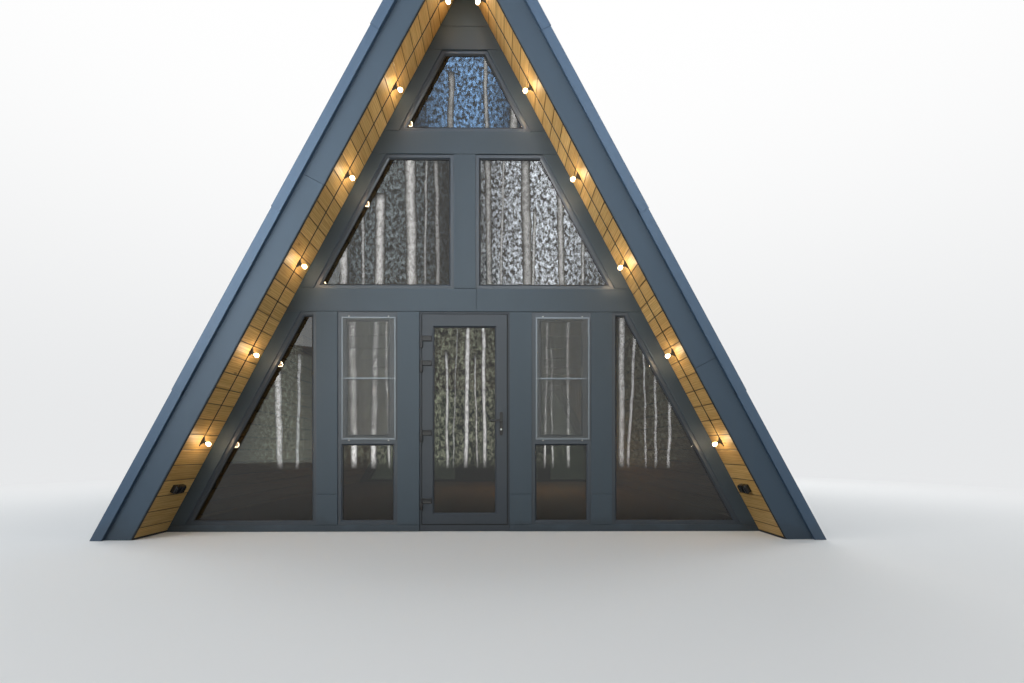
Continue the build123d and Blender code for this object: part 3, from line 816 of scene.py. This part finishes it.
# Ridge cap with turned-down edges and straps over its joints, and closure strips under it
def makeRidge():
    look = {"lap": 0.190, "past": 0.05, "sheet": 0.0025, "strap": 0.060, "strapTop": 0.004,
            "strapSink": 0.9, "strapEdge": 0.0005, "lip": 0.005, "straps": (-3.0, -1.0, 1.0, 3.0),
            "closure": 0.025, "closureEnd": 0.125, "closureGap": 0.0005, "closureEdge": 0.003}
    apexRun = slopeRun + vergeTop * slopeSin / slopeCos
    foot, over, top = apexRun - look["lap"], apexRun + look["past"], vergeTop + look["sheet"]
    half, strapLow = look["strap"] / 2, vergeTop + look["sheet"] * look["strapSink"]
    sheets, strips = [], []
    for side in (-1, 1):
        parts = [addBlock("leg", (foot, -vergeEnd, vergeTop), (over, vergeEnd, top)),
                 addBlock("lip", (foot, -vergeEnd, vergeTop - look["lip"]),
                          (foot + look["sheet"], vergeEnd, top))]
        for place in look["straps"]:
            strap = addBlock("strap", (foot - tiny, place - half, strapLow),
                             (over, place + half, vergeTop + look["strapTop"]))
            softenEdges(strap, look["strapEdge"])
            parts.append(strap)
        sheet = joinAs("half", parts)
        layOnSlope(sheet, side, endPlanes(side)[1:])
        sheets.append(sheet)
        strip = addBlock("strip", (foot + look["closure"], -vergeEnd + look["closureEnd"], sheetFace),
                         (foot + 2 * look["closure"], vergeEnd - look["closureEnd"],
                          vergeTop - look["closureGap"]))
        softenEdges(strip, look["closureEdge"], 2)
        transformMesh(strip, slopeMatrix(side))
        strips.append(strip)
    finishParts("ridgeSheets", sheets, "root", roofMetal, ["ridge_cap"])
    finishParts("ridgeClosures", strips, "root", rubber)


for side, name in bothSides:
    makeFascias(side, name)
    makeVergeCaps(side, name)
    makeSheeting(side, name)
makeRidge()
print("stage: roof edges and sheets")


# Outlines of the glazed lights, as corner pairs with the slope planes that trim them
def lightsOf(gable):
    trim = -(rafterBand + frameWidth)
    low, high = sillTop + frameWidth, beamLow - frameWidth
    inset = sashWidth if gable < 0 else 0.0      # the rear has no opening sashes
    rows = []
    for side in (-1, 1):
        x0, x1 = span(side, windowIn + frameWidth, windowOut - frameWidth)
        rows.append(((x0, low), (x1, transomLow), []))
        rows.append(((x0 + inset, transomHigh + inset), (x1 - inset, high - inset), []))
        x0, x1 = span(side, cornerIn + frameWidth, soffitX(low))
        rows.append(((x0, low), (x1, high), [slopePlane(side, trim)]))
        x0, x1 = span(side, postEdge + frameWidth, soffitX(beamHigh))
        rows.append(((x0, beamHigh + frameWidth), (x1, upperLow - frameWidth), [slopePlane(side, trim)]))
    wide = soffitX(upperHigh)
    rows.append(((-wide, upperHigh + frameWidth), (wide, gableLow - frameWidth),
                 [slopePlane(-1, trim), slopePlane(1, trim)]))
    return rows


def ringRound(low, high, planes, y0, y1, width):
    # a flat ring with the light's outline: inset both faces and bridge them
    ring = addBlock("ring", (low[0], y0, low[1]), (high[0], y1, high[1]))
    sliceOff(ring, planes)
    faceOut(ring, merge=True)
    selectFaces(ring, lambda face: abs(face.normal.y) > facing)
    bpy.ops.mesh.inset(thickness=width, use_even_offset=True)
    bpy.ops.mesh.bridge_edge_loops()
    leaveEdit()
    return ring


def ringAround(box, grow, y0, y1, width):
    low, high = box
    return ringRound((low.x - grow, low.z - grow), (high.x + grow, high.z + grow), [], y0, y1, width)


def makeSeals():
    look = {"width": 0.006, "depth": 0.005, "doorCover": 0.011}
    for gable, name in bothGables:
        y0, y1 = span(gable, abs(glassFace), abs(glassFace) + look["depth"])
        rings = [ringRound(*light, y0, y1, look["width"]) for light in lightsOf(gable)]
        finishParts(name + "GlassSeals", rings, "root", rubber)
    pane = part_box("door_glass")
    ring = ringAround(pane, -look["doorCover"], pane[0].y - look["depth"], pane[0].y, look["width"])
    finishParts("doorGlassSeal", [ring], "door", rubber)


def makeInsectMesh(name):
    look = {"pitch": 0.0018, "wire": 0.00036, "border": 0.013, "depth": 0.5}
    low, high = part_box(f"{name}_insect_screen")
    y = low.y + (high.y - low.y) * look["depth"]
    x0, x1 = low.x + look["border"], high.x - look["border"]
    z0, z1 = low.z + look["border"], high.z - look["border"]
    half = look["wire"] / 2
    warp = addBlock("warp", (x0, y - half, z0), (x0 + look["wire"], y + half, z1))
    repeat(warp, int((x1 - x0) / look["pitch"]), (look["pitch"], 0, 0))
    weft = addBlock("weft", (x0, y - half, z0), (x1, y + half, z0 + look["wire"]))
    repeat(weft, int((z1 - z0) / look["pitch"]), (0, 0, look["pitch"]))
    finishParts(name + "InsectMesh", [warp, weft], "root", meshWire)


# Studs beside the corners of each insect screen, and pins in the ends of its middle bar
def makeScreenStuds(name):
    look = {"radius": 0.0055, "proud": 0.006, "sunk": 0.002, "inset": 0.075, "gap": 0.009, "edge": 0.0015,
            "pin": 0.0035, "pinProud": 0.003, "pinEdge": 0.001, "barHeight": 1.594, "border": 0.007}
    low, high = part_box(f"{name}_insect_screen")
    studs = []
    for x in (low.x + look["inset"], high.x - look["inset"]):
        for z in (low.z - look["gap"], high.z + look["gap"]):
            stud = addRod("stud", look["radius"], (x, frameFace + look["sunk"], z),
                          (x, frameFace - look["proud"], z), 14)
            softenEdges(stud, look["edge"], 2)
            studs.append(stud)
    for x in (low.x + look["border"], high.x - look["border"]):
        pin = addRod("pin", look["pin"], (x, low.y + tiny, look["barHeight"]),
                     (x, low.y - look["pinProud"], look["barHeight"]), 12)
        softenEdges(pin, look["pinEdge"], 2)
        studs.append(pin)
    finishParts(name + "ScreenStuds", studs, "root", studSteel, rounded=True)


# Small oval caps over the drain slots in the bottom members of the frames
def makeDrainCaps():
    ground, middle, top = 0.092, 2.553, 4.193
    look = {"length": 0.030, "height": 0.009, "proud": 0.004, "edge": 0.0035,
            "places": ((-0.25, middle), (0.30, middle), (1.40, middle), (0.50, top), (0.87, ground),
                       (1.17, ground), (1.72, ground), (-0.87, ground), (-1.17, ground), (-1.72, ground),
                       (-1.40, middle), (-0.50, top))}
    halfLength, halfHeight = look["length"] / 2, look["height"] / 2
    for gable, name in bothGables:
        y0, y1 = span(gable, abs(frameFace) + look["proud"], abs(frameFace))
        caps = []
        for x, z in look["places"]:
            cap = addBlock("cap", (x - halfLength, y0, z - halfHeight), (x + halfLength, y1, z + halfHeight))
            softenEdges(cap, look["edge"], 3)
            caps.append(cap)
        finishParts(name + "DrainCaps", caps, "root", frameProfile)


makeSeals()
for name in ("left", "right"):
    makeInsectMesh(name)
    makeScreenStuds(name)
makeDrainCaps()
print("stage: window details")


# String of lights: cable clipped to the soffit, ribbed holders and globe bulbs
lightRun = {"first": 1.070, "pitch": 1.0, "count": 6, "depth": wallFace + 0.225, "tail": 0.060,
            "holder": 0.050, "gap": 0.0003}


def soffitPlace(side, run):
    # local Z points away from the soffit into the open
    out = Vector((-side * slopeSin, 0, -slopeCos))
    up = Vector((-side * slopeCos, 0, slopeSin))
    matrix = Matrix((up, out.cross(up), out)).transposed().to_4x4()
    matrix.translation = Vector((side * (innerHalf - run * slopeCos), -lightRun["depth"], run * slopeSin))
    return matrix


def makeBulb():
    look = {"radius": 0.022, "rise": 0.0256, "neckShare": 0.86, "neckDrop": 0.9}
    selectOnly()
    bpy.ops.mesh.primitive_uv_sphere_add(segments=24, ring_count=16, radius=look["radius"],
                                         location=(0, 0, look["rise"]))
    bulb = bpy.context.object
    applyPlace()
    low = look["rise"] - look["radius"] * look["neckShare"]
    selectFaces(bulb, lambda face: face.center.z < low)
    bpy.ops.mesh.extrude_region_move(TRANSFORM_OT_translate={"value": (0, 0, -low * look["neckDrop"])})
    leaveEdit()
    for vertex in bulb.data.vertices:
        vertex.co.z = max(vertex.co.z, 0.0)
    smooth(bulb, 60)
    return bulb


def makeHolder():
    look = {"radius": 0.0135, "length": lightRun["holder"], "coreEdge": 0.001, "ribs": 5, "ribDepth": 0.0012,
            "ribTop": 0.004, "ribShare": 0.32, "ribEdge": 0.0006, "bootLength": 0.084, "bootHeight": 0.026,
            "bootEnd": 0.009, "bootWidth": 0.0085, "bootEdge": 0.002}
    core = addRod("holder", look["radius"] - look["ribDepth"], (0, 0, 0), (0, 0, look["length"]), 24)
    softenEdges(core, look["coreEdge"], 2)
    parts = [core]
    step = (look["length"] - look["bootHeight"] - look["ribTop"]) / look["ribs"]
    for index in range(look["ribs"]):
        middle, half = look["bootHeight"] + (index + 0.5) * step, step * look["ribShare"]
        rib = addRod("rib", look["radius"], (0, 0, middle - half), (0, 0, middle + half), 24)
        softenEdges(rib, look["ribEdge"])
        parts.append(rib)
    # the boot starts as a block and its upper corners are cut down to the cable
    half, width, rise = look["bootLength"] / 2, look["bootWidth"], look["bootHeight"] - look["bootEnd"]
    boot = addBlock("boot", (-half, -width, lightRun["gap"]), (half, width, look["bootHeight"]))
    reach = half - look["radius"]
    sliceOff(boot, [(Vector((end * half, 0, look["bootEnd"])), Vector((end * rise, 0, reach)))
                    for end in (-1, 1)])
    softenEdges(boot, look["bootEdge"], 2)
    parts.append(boot)
    return joinAs("holder", parts)


def addLight(name, kind, place, power, colour):
    light = bpy.data.lights.new(name, kind)
    light.energy, light.color = power, colour
    lamp = bpy.data.objects.new(name, light)
    bpy.context.scene.collection.objects.link(lamp)
    lamp.location = place
    return lamp


def makeLights():
    look = {"cable": 0.0042, "lampPower": 3.0, "ridgePower": 1.1, "lampRadius": 0.03, "lampRise": 0.026,
            "lampColour": (1.0, 0.75, 0.47), "tip": 1.25, "tipLength": 0.02, "tipEdge": 0.0012}
    drop = look["cable"] + lightRun["gap"]
    ridgeRun = (innerHalf - drop * slopeSin) / slopeCos
    bulbModel, holderModel = makeBulb(), makeHolder()
    bulbs, holders = [], []
    for side in (-1, 1):
        for index in range(lightRun["count"]):
            matrix = soffitPlace(side, lightRun["first"] + index * lightRun["pitch"])
            holder = copyOf(holderModel, "holder")
            transformMesh(holder, matrix)
            holders.append(holder)
            bulb = copyOf(bulbModel, "bulb")
            transformMesh(bulb, matrix @ Matrix.Translation((0, 0, lightRun["holder"])))
            bulbs.append(bulb)
            power = look["ridgePower"] if index == lightRun["count"] - 1 else look["lampPower"]
            middle = matrix @ Vector((0, 0, lightRun["holder"] + look["lampRise"]))
            lamp = addLight("bulbLamp", "POINT", middle, power, look["lampColour"])
            lamp.data.shadow_soft_size = look["lampRadius"]
            lamp.visible_transmission = False
        start = soffitPlace(side, lightRun["first"] - lightRun["tail"]) @ Vector((0, 0, drop))
        end = soffitPlace(side, ridgeRun) @ Vector((0, 0, drop))
        cable = addRod("cable", look["cable"], start, end, 12)
        tip = addRod("tip", look["cable"] * look["tip"], start,
                     start + (end - start).normalized() * look["tipLength"], 12)
        softenEdges(tip, look["tipEdge"], 2)
        holders += [cable, tip]
    for model in (bulbModel, holderModel):
        bpy.data.objects.remove(model)
    finishParts("lightString", holders, "root", blackPlastic, ["light_cable"], rounded=True)
    finishParts("globeBulbs", bulbs, "root", bulbGlow, ["light_bulbs"])


makeLights()
print("stage: string of lights")


# Twin sockets with spring lids
def makeSockets():
    look = {"length": 0.150, "width": 0.082, "depth": 0.045, "corner": 0.008, "height": 0.476,
            "lid": 0.0615, "lidWidth": 0.066, "lidDepth": 0.010, "lidGap": 0.0045, "lidSunk": 0.002,
            "lidEdge": 0.004, "panel": 0.006, "panelDepth": 0.0015,
            "grip": 0.012, "gripReach": 0.004, "gripFrom": 0.002, "gripTo": 0.006, "gripEdge": 0.0015,
            "hinge": 0.0035, "hingeHalf": 0.02, "hingeRise": 0.003}
    boxes = []
    half, wide, depth = look["length"] / 2, look["width"] / 2, look["depth"]
    lidHalf, lidWide = look["lid"] / 2, look["lidWidth"] / 2
    for side in (-1, 1):
        body = addBlock("body", (-half, -wide, 0), (half, wide, depth))
        softenEdges(body, look["corner"], 4)
        parts = [body]
        for shift in (-1, 1):
            middle = shift * (lidHalf + look["lidGap"])
            lid = addBlock("lid", (middle - lidHalf, -lidWide, depth - look["lidSunk"]),
                           (middle + lidHalf, lidWide, depth + look["lidDepth"]))
            softenEdges(lid, look["lidEdge"], 3)
            selectFaces(lid, lambda face: face.normal.z > facing)
            bpy.ops.mesh.inset(thickness=look["panel"])
            bpy.ops.transform.translate(value=(0, 0, -look["panelDepth"]))
            leaveEdit()
            grip = addBlock(
                "grip", (middle - look["grip"], lidWide - look["gripReach"], depth + look["gripFrom"]),
                (middle + look["grip"], lidWide + look["gripReach"], depth + look["gripTo"]))
            softenEdges(grip, look["gripEdge"], 2)
            hingeY, hingeZ = -lidWide - tiny, depth + look["hingeRise"]
            hinge = addRod("hinge", look["hinge"], (middle - look["hingeHalf"], hingeY, hingeZ),
                           (middle + look["hingeHalf"], hingeY, hingeZ), 12)
            parts += [lid, grip, hinge]
        box = joinAs("box", parts)
        place = soffitPlace(side, look["height"] / slopeSin)
        transformMesh(box, place @ Matrix.Rotation(math.radians(90), 4, "Z"))
        boxes.append(box)
    finishParts("twinSockets", boxes, "root", socketPlastic, ["socket_boxes"], rounded=True)


# Lock cylinder in the outer handle plate, and its keyway
def makeLock():
    look = {"radius": 0.0085, "height": 1.064, "across": 0.380, "proud": 0.0145, "sunk": 0.002,
            "edge": 0.0012, "rim": 0.0022, "keyway": 0.0006, "frontArea": 0.00008}
    x, y, z = look["across"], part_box("door_leaf")[0].y, look["height"]
    lock = addRod("lock", look["radius"], (x, y - look["sunk"], z), (x, y - look["proud"], z), 28)
    softenEdges(lock, look["edge"], 2)
    selectFaces(lock, lambda face: face.normal.y < -facing and face.area > look["frontArea"])
    bpy.ops.mesh.inset(thickness=look["rim"])
    bpy.ops.transform.translate(value=(0, look["keyway"], 0))
    leaveEdit()
    finishParts("lockCylinder", [lock], "door", studSteel, rounded=True)


# Surface hinges: a cased flag with its knuckle on the leaf, a plate, arm and knuckle on the frame
def makeHinges():
    look = {"tops": (2.036, 1.781, 1.057, 0.349), "flagHeight": 0.056, "height": 0.125, "flagLength": 0.103,
            "flagThick": 0.0125, "flagEdge": 0.0035, "rim": 0.004, "cover": 0.0015, "radius": 0.009,
            "knuckleEdge": 0.0016, "gap": 0.0012, "plateThick": 0.007, "plateOver": 0.002, "arm": 0.005,
            "armShort": 0.002, "edge": 0.0015, "pin": 0.004, "pinDown": 0.008, "pinUp": 0.004,
            "axisOut": 0.0045, "axisProud": 0.011, "frameBack": 0.012}
    leafLow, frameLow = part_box("door_leaf")[0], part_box("door_frame")[0]
    axisX, axisY = leafLow.x - look["axisOut"], leafLow.y - look["axisProud"]
    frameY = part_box("front_floor_beam")[0].y + look["frameBack"]
    armX = axisX - look["radius"]
    frameSide, leafSide = [], []
    for top in look["tops"]:
        split, bottom = top - look["flagHeight"], top - look["height"]
        under = split - look["gap"]
        flag = addBlock("flag", (axisX, leafLow.y - look["flagThick"], split),
                        (axisX + look["flagLength"], leafLow.y, top))
        softenEdges(flag, look["flagEdge"], 3)
        selectFaces(flag, lambda face: face.normal.y < -facing)
        bpy.ops.mesh.inset(thickness=look["rim"])
        bpy.ops.mesh.extrude_region_move(TRANSFORM_OT_translate={"value": (0, -look["cover"], 0)})
        leaveEdit()
        upper = addRod("upper", look["radius"], (axisX, axisY, split), (axisX, axisY, top), 24)
        lower = addRod("lower", look["radius"], (axisX, axisY, bottom), (axisX, axisY, under), 24)
        for knuckle in (upper, lower):
            softenEdges(knuckle, look["knuckleEdge"], 3)
        plate = addBlock("plate", (frameLow.x + tiny, frameY - look["plateThick"], bottom),
                         (axisX + look["plateOver"], frameY, under))
        arm = addBlock("arm", (armX, axisY, bottom + look["armShort"]),
                       (armX + look["arm"], frameY - tiny, under - look["armShort"]))
        for part in (plate, arm):
            softenEdges(part, look["edge"], 2)
        pin = addRod("pin", look["pin"], (axisX, axisY, split - look["pinDown"]),
                     (axisX, axisY, split + look["pinUp"]))
        leafSide += [flag, upper]
        frameSide += [lower, plate, arm, pin]
    finishParts("leafHinges", leafSide, "door", blackMetal, ["leaf_hinges"], rounded=True)
    finishParts("frameHinges", frameSide, "root", blackMetal, ["frame_hinges"], rounded=True)


# Black seal in the gap round the leaf
def makeLeafSeal():
    look = {"cover": 0.0085, "width": 0.008, "face": 0.018, "depth": 0.008}
    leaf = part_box("door_leaf")
    y0 = leaf[0].y + look["face"]
    ring = ringAround(leaf, look["cover"], y0, y0 + look["depth"], look["width"])
    finishParts("leafSeal", [ring], "root", rubber)


# A CAD node's own shape with its sharp edges rounded
def polishNode(node, body, material, width, segments=2):
    piece = copyOf(nodes[node], node.title().replace("_", "") + "Rounded")
    editAll(piece)
    bpy.ops.mesh.remove_doubles(threshold=mergeReach)
    bpy.ops.mesh.dissolve_limited(angle_limit=math.radians(1))
    leaveEdit()
    softenEdges(piece, width, segments, 40)
    smooth(piece)
    useModifier(piece, "WEIGHTED_NORMAL", keep_sharp=True)
    finishPiece(piece, body, material, [node])


makeHinges()
makeLeafSeal()
polishNode("handle_plates", "door", blackMetal, width=0.0022, segments=3)
polishNode("door_levers", "levers", blackMetal, width=0.0025, segments=3)
polishNode("door_leaf", "door", doorProfile, width=0.003)
polishNode("door_frame", "root", doorProfile, width=0.003)
makeSockets()
makeLock()
print("stage: door fittings and sockets")


# Pale floor, white surroundings and soft lamps
backdrop = {"low": (0.80, 0.81, 0.82, 1), "high": (1, 1, 1, 1)}      # pale grey far off, white above


def seenRays(tree, rays):
    # 1 where the camera looks straight on, or by way of gloss or glass
    direct = calc(tree, "MAXIMUM", rays["Is Camera Ray"], rays["Is Glossy Ray"])
    return calc(tree, "MAXIMUM", direct, rays["Is Transmission Ray"])


def makeStage():
    look = {"size": 150.0, "drop": 0.0005, "colour": (0.84, 0.84, 0.83, 1), "bounce": (0.22, 0.20, 0.17, 1),
            "roughness": 0.9, "fade": (5.0, 12.0)}
    selectOnly()
    bpy.ops.mesh.primitive_plane_add(size=look["size"], location=(0, 0, -look["drop"]))
    floor = bpy.context.object
    floor.name = "stageFloor"
    material, tree, shader, place = newMaterial("paleFloor")
    rays = tree.nodes.new("ShaderNodeLightPath").outputs
    colour = mixColours(tree, rays["Is Diffuse Ray"], look["colour"], look["bounce"])
    fillSockets(tree, shader, {"Base Color": colour, "Roughness": look["roughness"]})
    glow = addNode(tree, "ShaderNodeEmission", {"Color": backdrop["low"], "Strength": 1.0})
    distance = addNode(tree, "ShaderNodeVectorMath", {0: place}, operation="LENGTH").outputs["Value"]
    fade = calc(tree, "MULTIPLY", remap(tree, distance, *look["fade"]), seenRays(tree, rays))
    blend = addNode(tree, "ShaderNodeMixShader", {0: fade, 1: shader.outputs[0], 2: glow.outputs[0]})
    tree.links.new(blend.outputs[0], tree.nodes["Material Output"].inputs["Surface"])
    floor.data.materials.append(material)


def makeWorld():
    look = {"light": (0.88, 0.94, 1.0, 1), "darkest": 0.07, "brightest": 0.47, "lean": (-0.40, -0.10, 0.92),
            "leanRange": (-0.2, 0.9), "paleRange": (-0.02, 0.65)}
    world = bpy.data.worlds.new("studioWorld")
    bpy.context.scene.world = world
    world.use_nodes = True
    tree = world.node_tree
    tree.nodes.clear()
    rays = tree.nodes.new("ShaderNodeLightPath").outputs
    direction = tree.nodes.new("ShaderNodeTexCoord").outputs["Generated"]
    lean = addNode(tree, "ShaderNodeVectorMath", {0: direction, 1: look["lean"]}, operation="DOT_PRODUCT")
    soft = remap(tree, lean.outputs["Value"], *look["leanRange"], look["darkest"], look["brightest"])
    ambient = addNode(tree, "ShaderNodeBackground", {"Color": look["light"], "Strength": soft})
    height = remap(tree, splitAxes(tree, direction)["Z"], *look["paleRange"])
    pale = mixColours(tree, height, backdrop["low"], backdrop["high"])
    background = addNode(tree, "ShaderNodeBackground", {"Color": pale, "Strength": 1.0})
    both = addNode(tree, "ShaderNodeMixShader", {0: seenRays(tree, rays), 1: ambient.outputs[0],
                                                2: background.outputs[0]})
    leave = tree.nodes.new("ShaderNodeOutputWorld")
    tree.links.new(both.outputs[0], leave.inputs["Surface"])


def addArea(name, place, aim, size, power, colour):
    lamp = addLight(name, "AREA", place, power, colour)
    lamp.data.shape = "RECTANGLE"
    lamp.data.size, lamp.data.size_y = size
    lamp.rotation_euler = (Vector(aim) - Vector(place)).to_track_quat("-Z", "Y").to_euler()
    lamp.visible_camera = False
    return lamp


# Tall strip lamps and broad patchy ones in front, seen by gloss alone: the panes show them as soft
# pale streaks and flecks
def makeStrips():
    bluish, cool = (0.30, 0.58, 1.0), (0.88, 0.94, 1.0)
    faint, greenish = (0.80, 0.92, 0.95), (0.96, 1.0, 0.70)
    look = {
        "distance": 17.0, "level": 1.4, "pale": (1.0, 0.99, 0.96), "broadFrom": 2.0,
        "broadPatches": (0.39, 0.72, 0.0), "stripPatches": (0.36, 0.60, 0.45), "patchSize": (0.11, 0.17),
        # axis, sharpness and steepness of the fade towards the edges
        "fades": (("X", 1.6, 4.0), ("Y", 1.0, 14.0)),
        # by low edge: across, width, high, brightness, lean in degrees
        "strips": {
            0.1: ((-8.07, 0.28, 5.0, 9.0, 2), (-7.3, 0.16, 4.5, 6.0, -2), (-5.23, 0.30, 6.2, 16.0, 0.5),
                  (-4.42, 0.26, 6.2, 14.0, -1), (-3.94, 0.12, 6.2, 9.0, 1), (-1.66, 0.13, 4.6, 9.0, 1),
                  (-1.35, 0.07, 6.0, 5.0, -1.5), (-0.92, 0.19, 6.2, 12.0, -1), (-0.58, 0.08, 4.5, 8.0, 1),
                  (-0.27, 0.17, 6.2, 11.0, 0.5), (2.08, 0.11, 6.2, 10.0, -1), (2.31, 0.10, 5.0, 8.0, 1),
                  (2.93, 0.14, 6.2, 9.0, 0.5), (4.97, 0.26, 6.2, 7.0, 0), (5.35, 0.15, 5.5, 6.5, -3),
                  (5.85, 0.10, 5.0, 6.0, 1), (6.27, 0.13, 4.0, 6.0, 0), (6.8, 0.16, 3.2, 7.0, -1)),
            6.6: ((-5.6, 0.35, 8.6, 9.0, -1), (-4.87, 0.14, 10.5, 7.0, 1), (-4.22, 0.42, 10.6, 10.0, -1),
                  (-3.05, 0.44, 12.2, 10.0, 1), (-2.5, 0.12, 12.0, 6.0, -1), (-2.05, 0.20, 12.0, 5.0, 1),
                  (-0.1, 0.24, 12.2, 6.0, 1), (0.42, 0.10, 12.2, 8.0, -1), (1.35, 0.36, 12.0, 7.0, 1),
                  (1.62, 0.12, 10.0, 9.0, -1.5), (2.65, 0.26, 10.8, 8.0, 1), (3.5, 0.12, 8.8, 9.0, -1)),
            12.3: ((-1.55, 0.24, 15.2, 5.0, -1), (-0.2, 0.16, 16.5, 6.0, 1), (0.85, 0.3, 14.5, 7.0, -1))},
        # across, width, low, high, brightness, lean, colour
        "patches": (
            (-0.9, 4.4, 12.2, 17.5, 14.5, 0, bluish), (1.9, 6.4, 6.5, 12.2, 20.0, 0, cool),
            (-3.9, 5.6, 6.5, 12.2, 5.0, 0, faint), (-1.6, 11.0, 0.1, 6.4, 3.6, 0, greenish),
            (6.0, 4.4, 0.1, 5.6, 1.4, 0, greenish), (-8.0, 3.0, 0.1, 5.6, 2.0, 0, greenish))}
    rows = [(across, width, low, high, brightness, lean, look["pale"])
            for low, strips in look["strips"].items() for across, width, high, brightness, lean in strips]
    for across, width, low, high, brightness, lean, colour in (*rows, *look["patches"]):
        middle, tall = (low + high) / 2, high - low
        lamp = addArea("stripLamp", (across, -look["distance"], middle), (across, 0, middle), (width, tall),
                       brightness * look["level"] * math.pi * width * tall, colour)
        lamp.rotation_euler.rotate_axis("Z", math.radians(lean))
        lamp.visible_transmission = lamp.visible_diffuse = False
        lamp.data.use_nodes = True
        tree = lamp.data.node_tree
        place = splitAxes(tree, tree.nodes.new("ShaderNodeNewGeometry").outputs["Parametric"])
        soft = 1.0
        for axis, sharpness, steepness in look["fades"]:
            hump = calc(tree, "MULTIPLY", place[axis], calc(tree, "SUBTRACT", 1.0, place[axis]))
            hump = calc(tree, "MAXIMUM", calc(tree, "MULTIPLY", hump, steepness), 0.0)
            edge = calc(tree, "POWER", calc(tree, "MINIMUM", hump, 1.0), sharpness)
            soft = calc(tree, "MULTIPLY", soft, edge)
        patchWidth, patchHeight = look["patchSize"]
        spot = joinAxes(tree, calc(tree, "MULTIPLY", place["X"], width / patchWidth),
                        calc(tree, "MULTIPLY", place["Y"], tall / patchHeight), across)
        broken = look["broadPatches"] if width > look["broadFrom"] else look["stripPatches"]
        patches = remap(tree, noise(tree, spot, scale=1.0, detail=5.0, Roughness=0.7), *broken)
        fillSockets(tree, tree.nodes["Emission"], {"Strength": calc(tree, "MULTIPLY", soft, patches)})


def makeLamps():
    look = {
        # place, aim, size, power, colour
        "broad": {"keyLamp": ((-6.8, -10.5, 7.2), (-0.5, -3.5, 3.0), (7, 7), 345, (0.95, 0.975, 1.0)),
                  "fillLamp": ((10, -11, 6), (0, -2, 3.0), (7, 7), 18, (0.95, 0.98, 1.0)),
                  "rearLamp": ((5, 14, 10), (0, 3, 3), (9, 9), 1150, (1.0, 0.99, 0.97)),
                  "rightLamp": ((15, 5, 8), (2, 1, 2.5), (8, 8), 900, (0.97, 0.99, 1.0)),
                  "leftLamp": ((-15, 5, 8), (-2, 1, 2.5), (8, 8), 800, (0.97, 0.99, 1.0))},
        "rooms": {"roomLamp": ((0.9, 0.8, 2.1), 56), "loftLamp": ((0, 0.5, 3.8), 12)},
        "roomSize": (1.6, 1.6), "roomColour": (1.0, 0.80, 0.55),
        # side, power, colour
        "sides": ((-1, 50, (1.0, 0.98, 0.95)), (1, 32, (0.88, 0.95, 1.0))),
        "sidePlace": (7.5, -7.0, 3.7), "sideAim": (-1.4, -3.8, 3.8), "sideSize": (3, 3),
        "wall": ((-4.5, -9.5, 1.8), (-2.5, -3.6, 2.6), (2.5, 2.5), 18, (0.94, 0.97, 1.0)),
        "sideSpread": 60, "wallSpread": 50}      # narrow, to keep their light off the floor
    for name, settings in look["broad"].items():
        addArea(name, *settings)
    for name, (place, power) in look["rooms"].items():
        lamp = addArea(name, place, (place[0], place[1], 0), look["roomSize"], power, look["roomColour"])
        lamp.visible_glossy = lamp.visible_transmission = False
    placeX, aimX = look["sidePlace"][0], look["sideAim"][0]
    for side, power, colour in look["sides"]:
        place, aim = (side * placeX, *look["sidePlace"][1:]), (side * aimX, *look["sideAim"][1:])
        lamp = addArea("sideLamp", place, aim, look["sideSize"], power, colour)
        lamp.data.spread = math.radians(look["sideSpread"])
    lamp = addArea("wallLamp", *look["wall"])
    lamp.data.spread = math.radians(look["wallSpread"])
    lamp.visible_glossy = False
    makeStrips()


def makeCamera():
    look = {"place": (0.381, -8.609, 0.858), "focalPixels": 490.5, "centre": (506.0, 449.1), "turn": -0.0097,
            "imageSize": (1024, 683), "sensor": 36.0, "clipEnd": 300}
    width, height = look["imageSize"]
    data = bpy.data.cameras.new("photoCamera")
    data.sensor_width = look["sensor"]
    data.lens = look["sensor"] * look["focalPixels"] / width
    data.shift_x = (width / 2 - look["centre"][0]) / width
    data.shift_y = (look["centre"][1] - height / 2) / width
    data.clip_end = look["clipEnd"]
    camera = bpy.data.objects.new("photoCamera", data)
    bpy.context.scene.collection.objects.link(camera)
    camera.location = look["place"]
    camera.rotation_euler = (math.radians(90), 0, look["turn"])
    bpy.context.scene.camera = camera


bpy.context.scene.view_settings.view_transform = "Standard"
makeCamera()
makeWorld()
makeLamps()
makeStage()
print("stage: camera, lamps and floor")
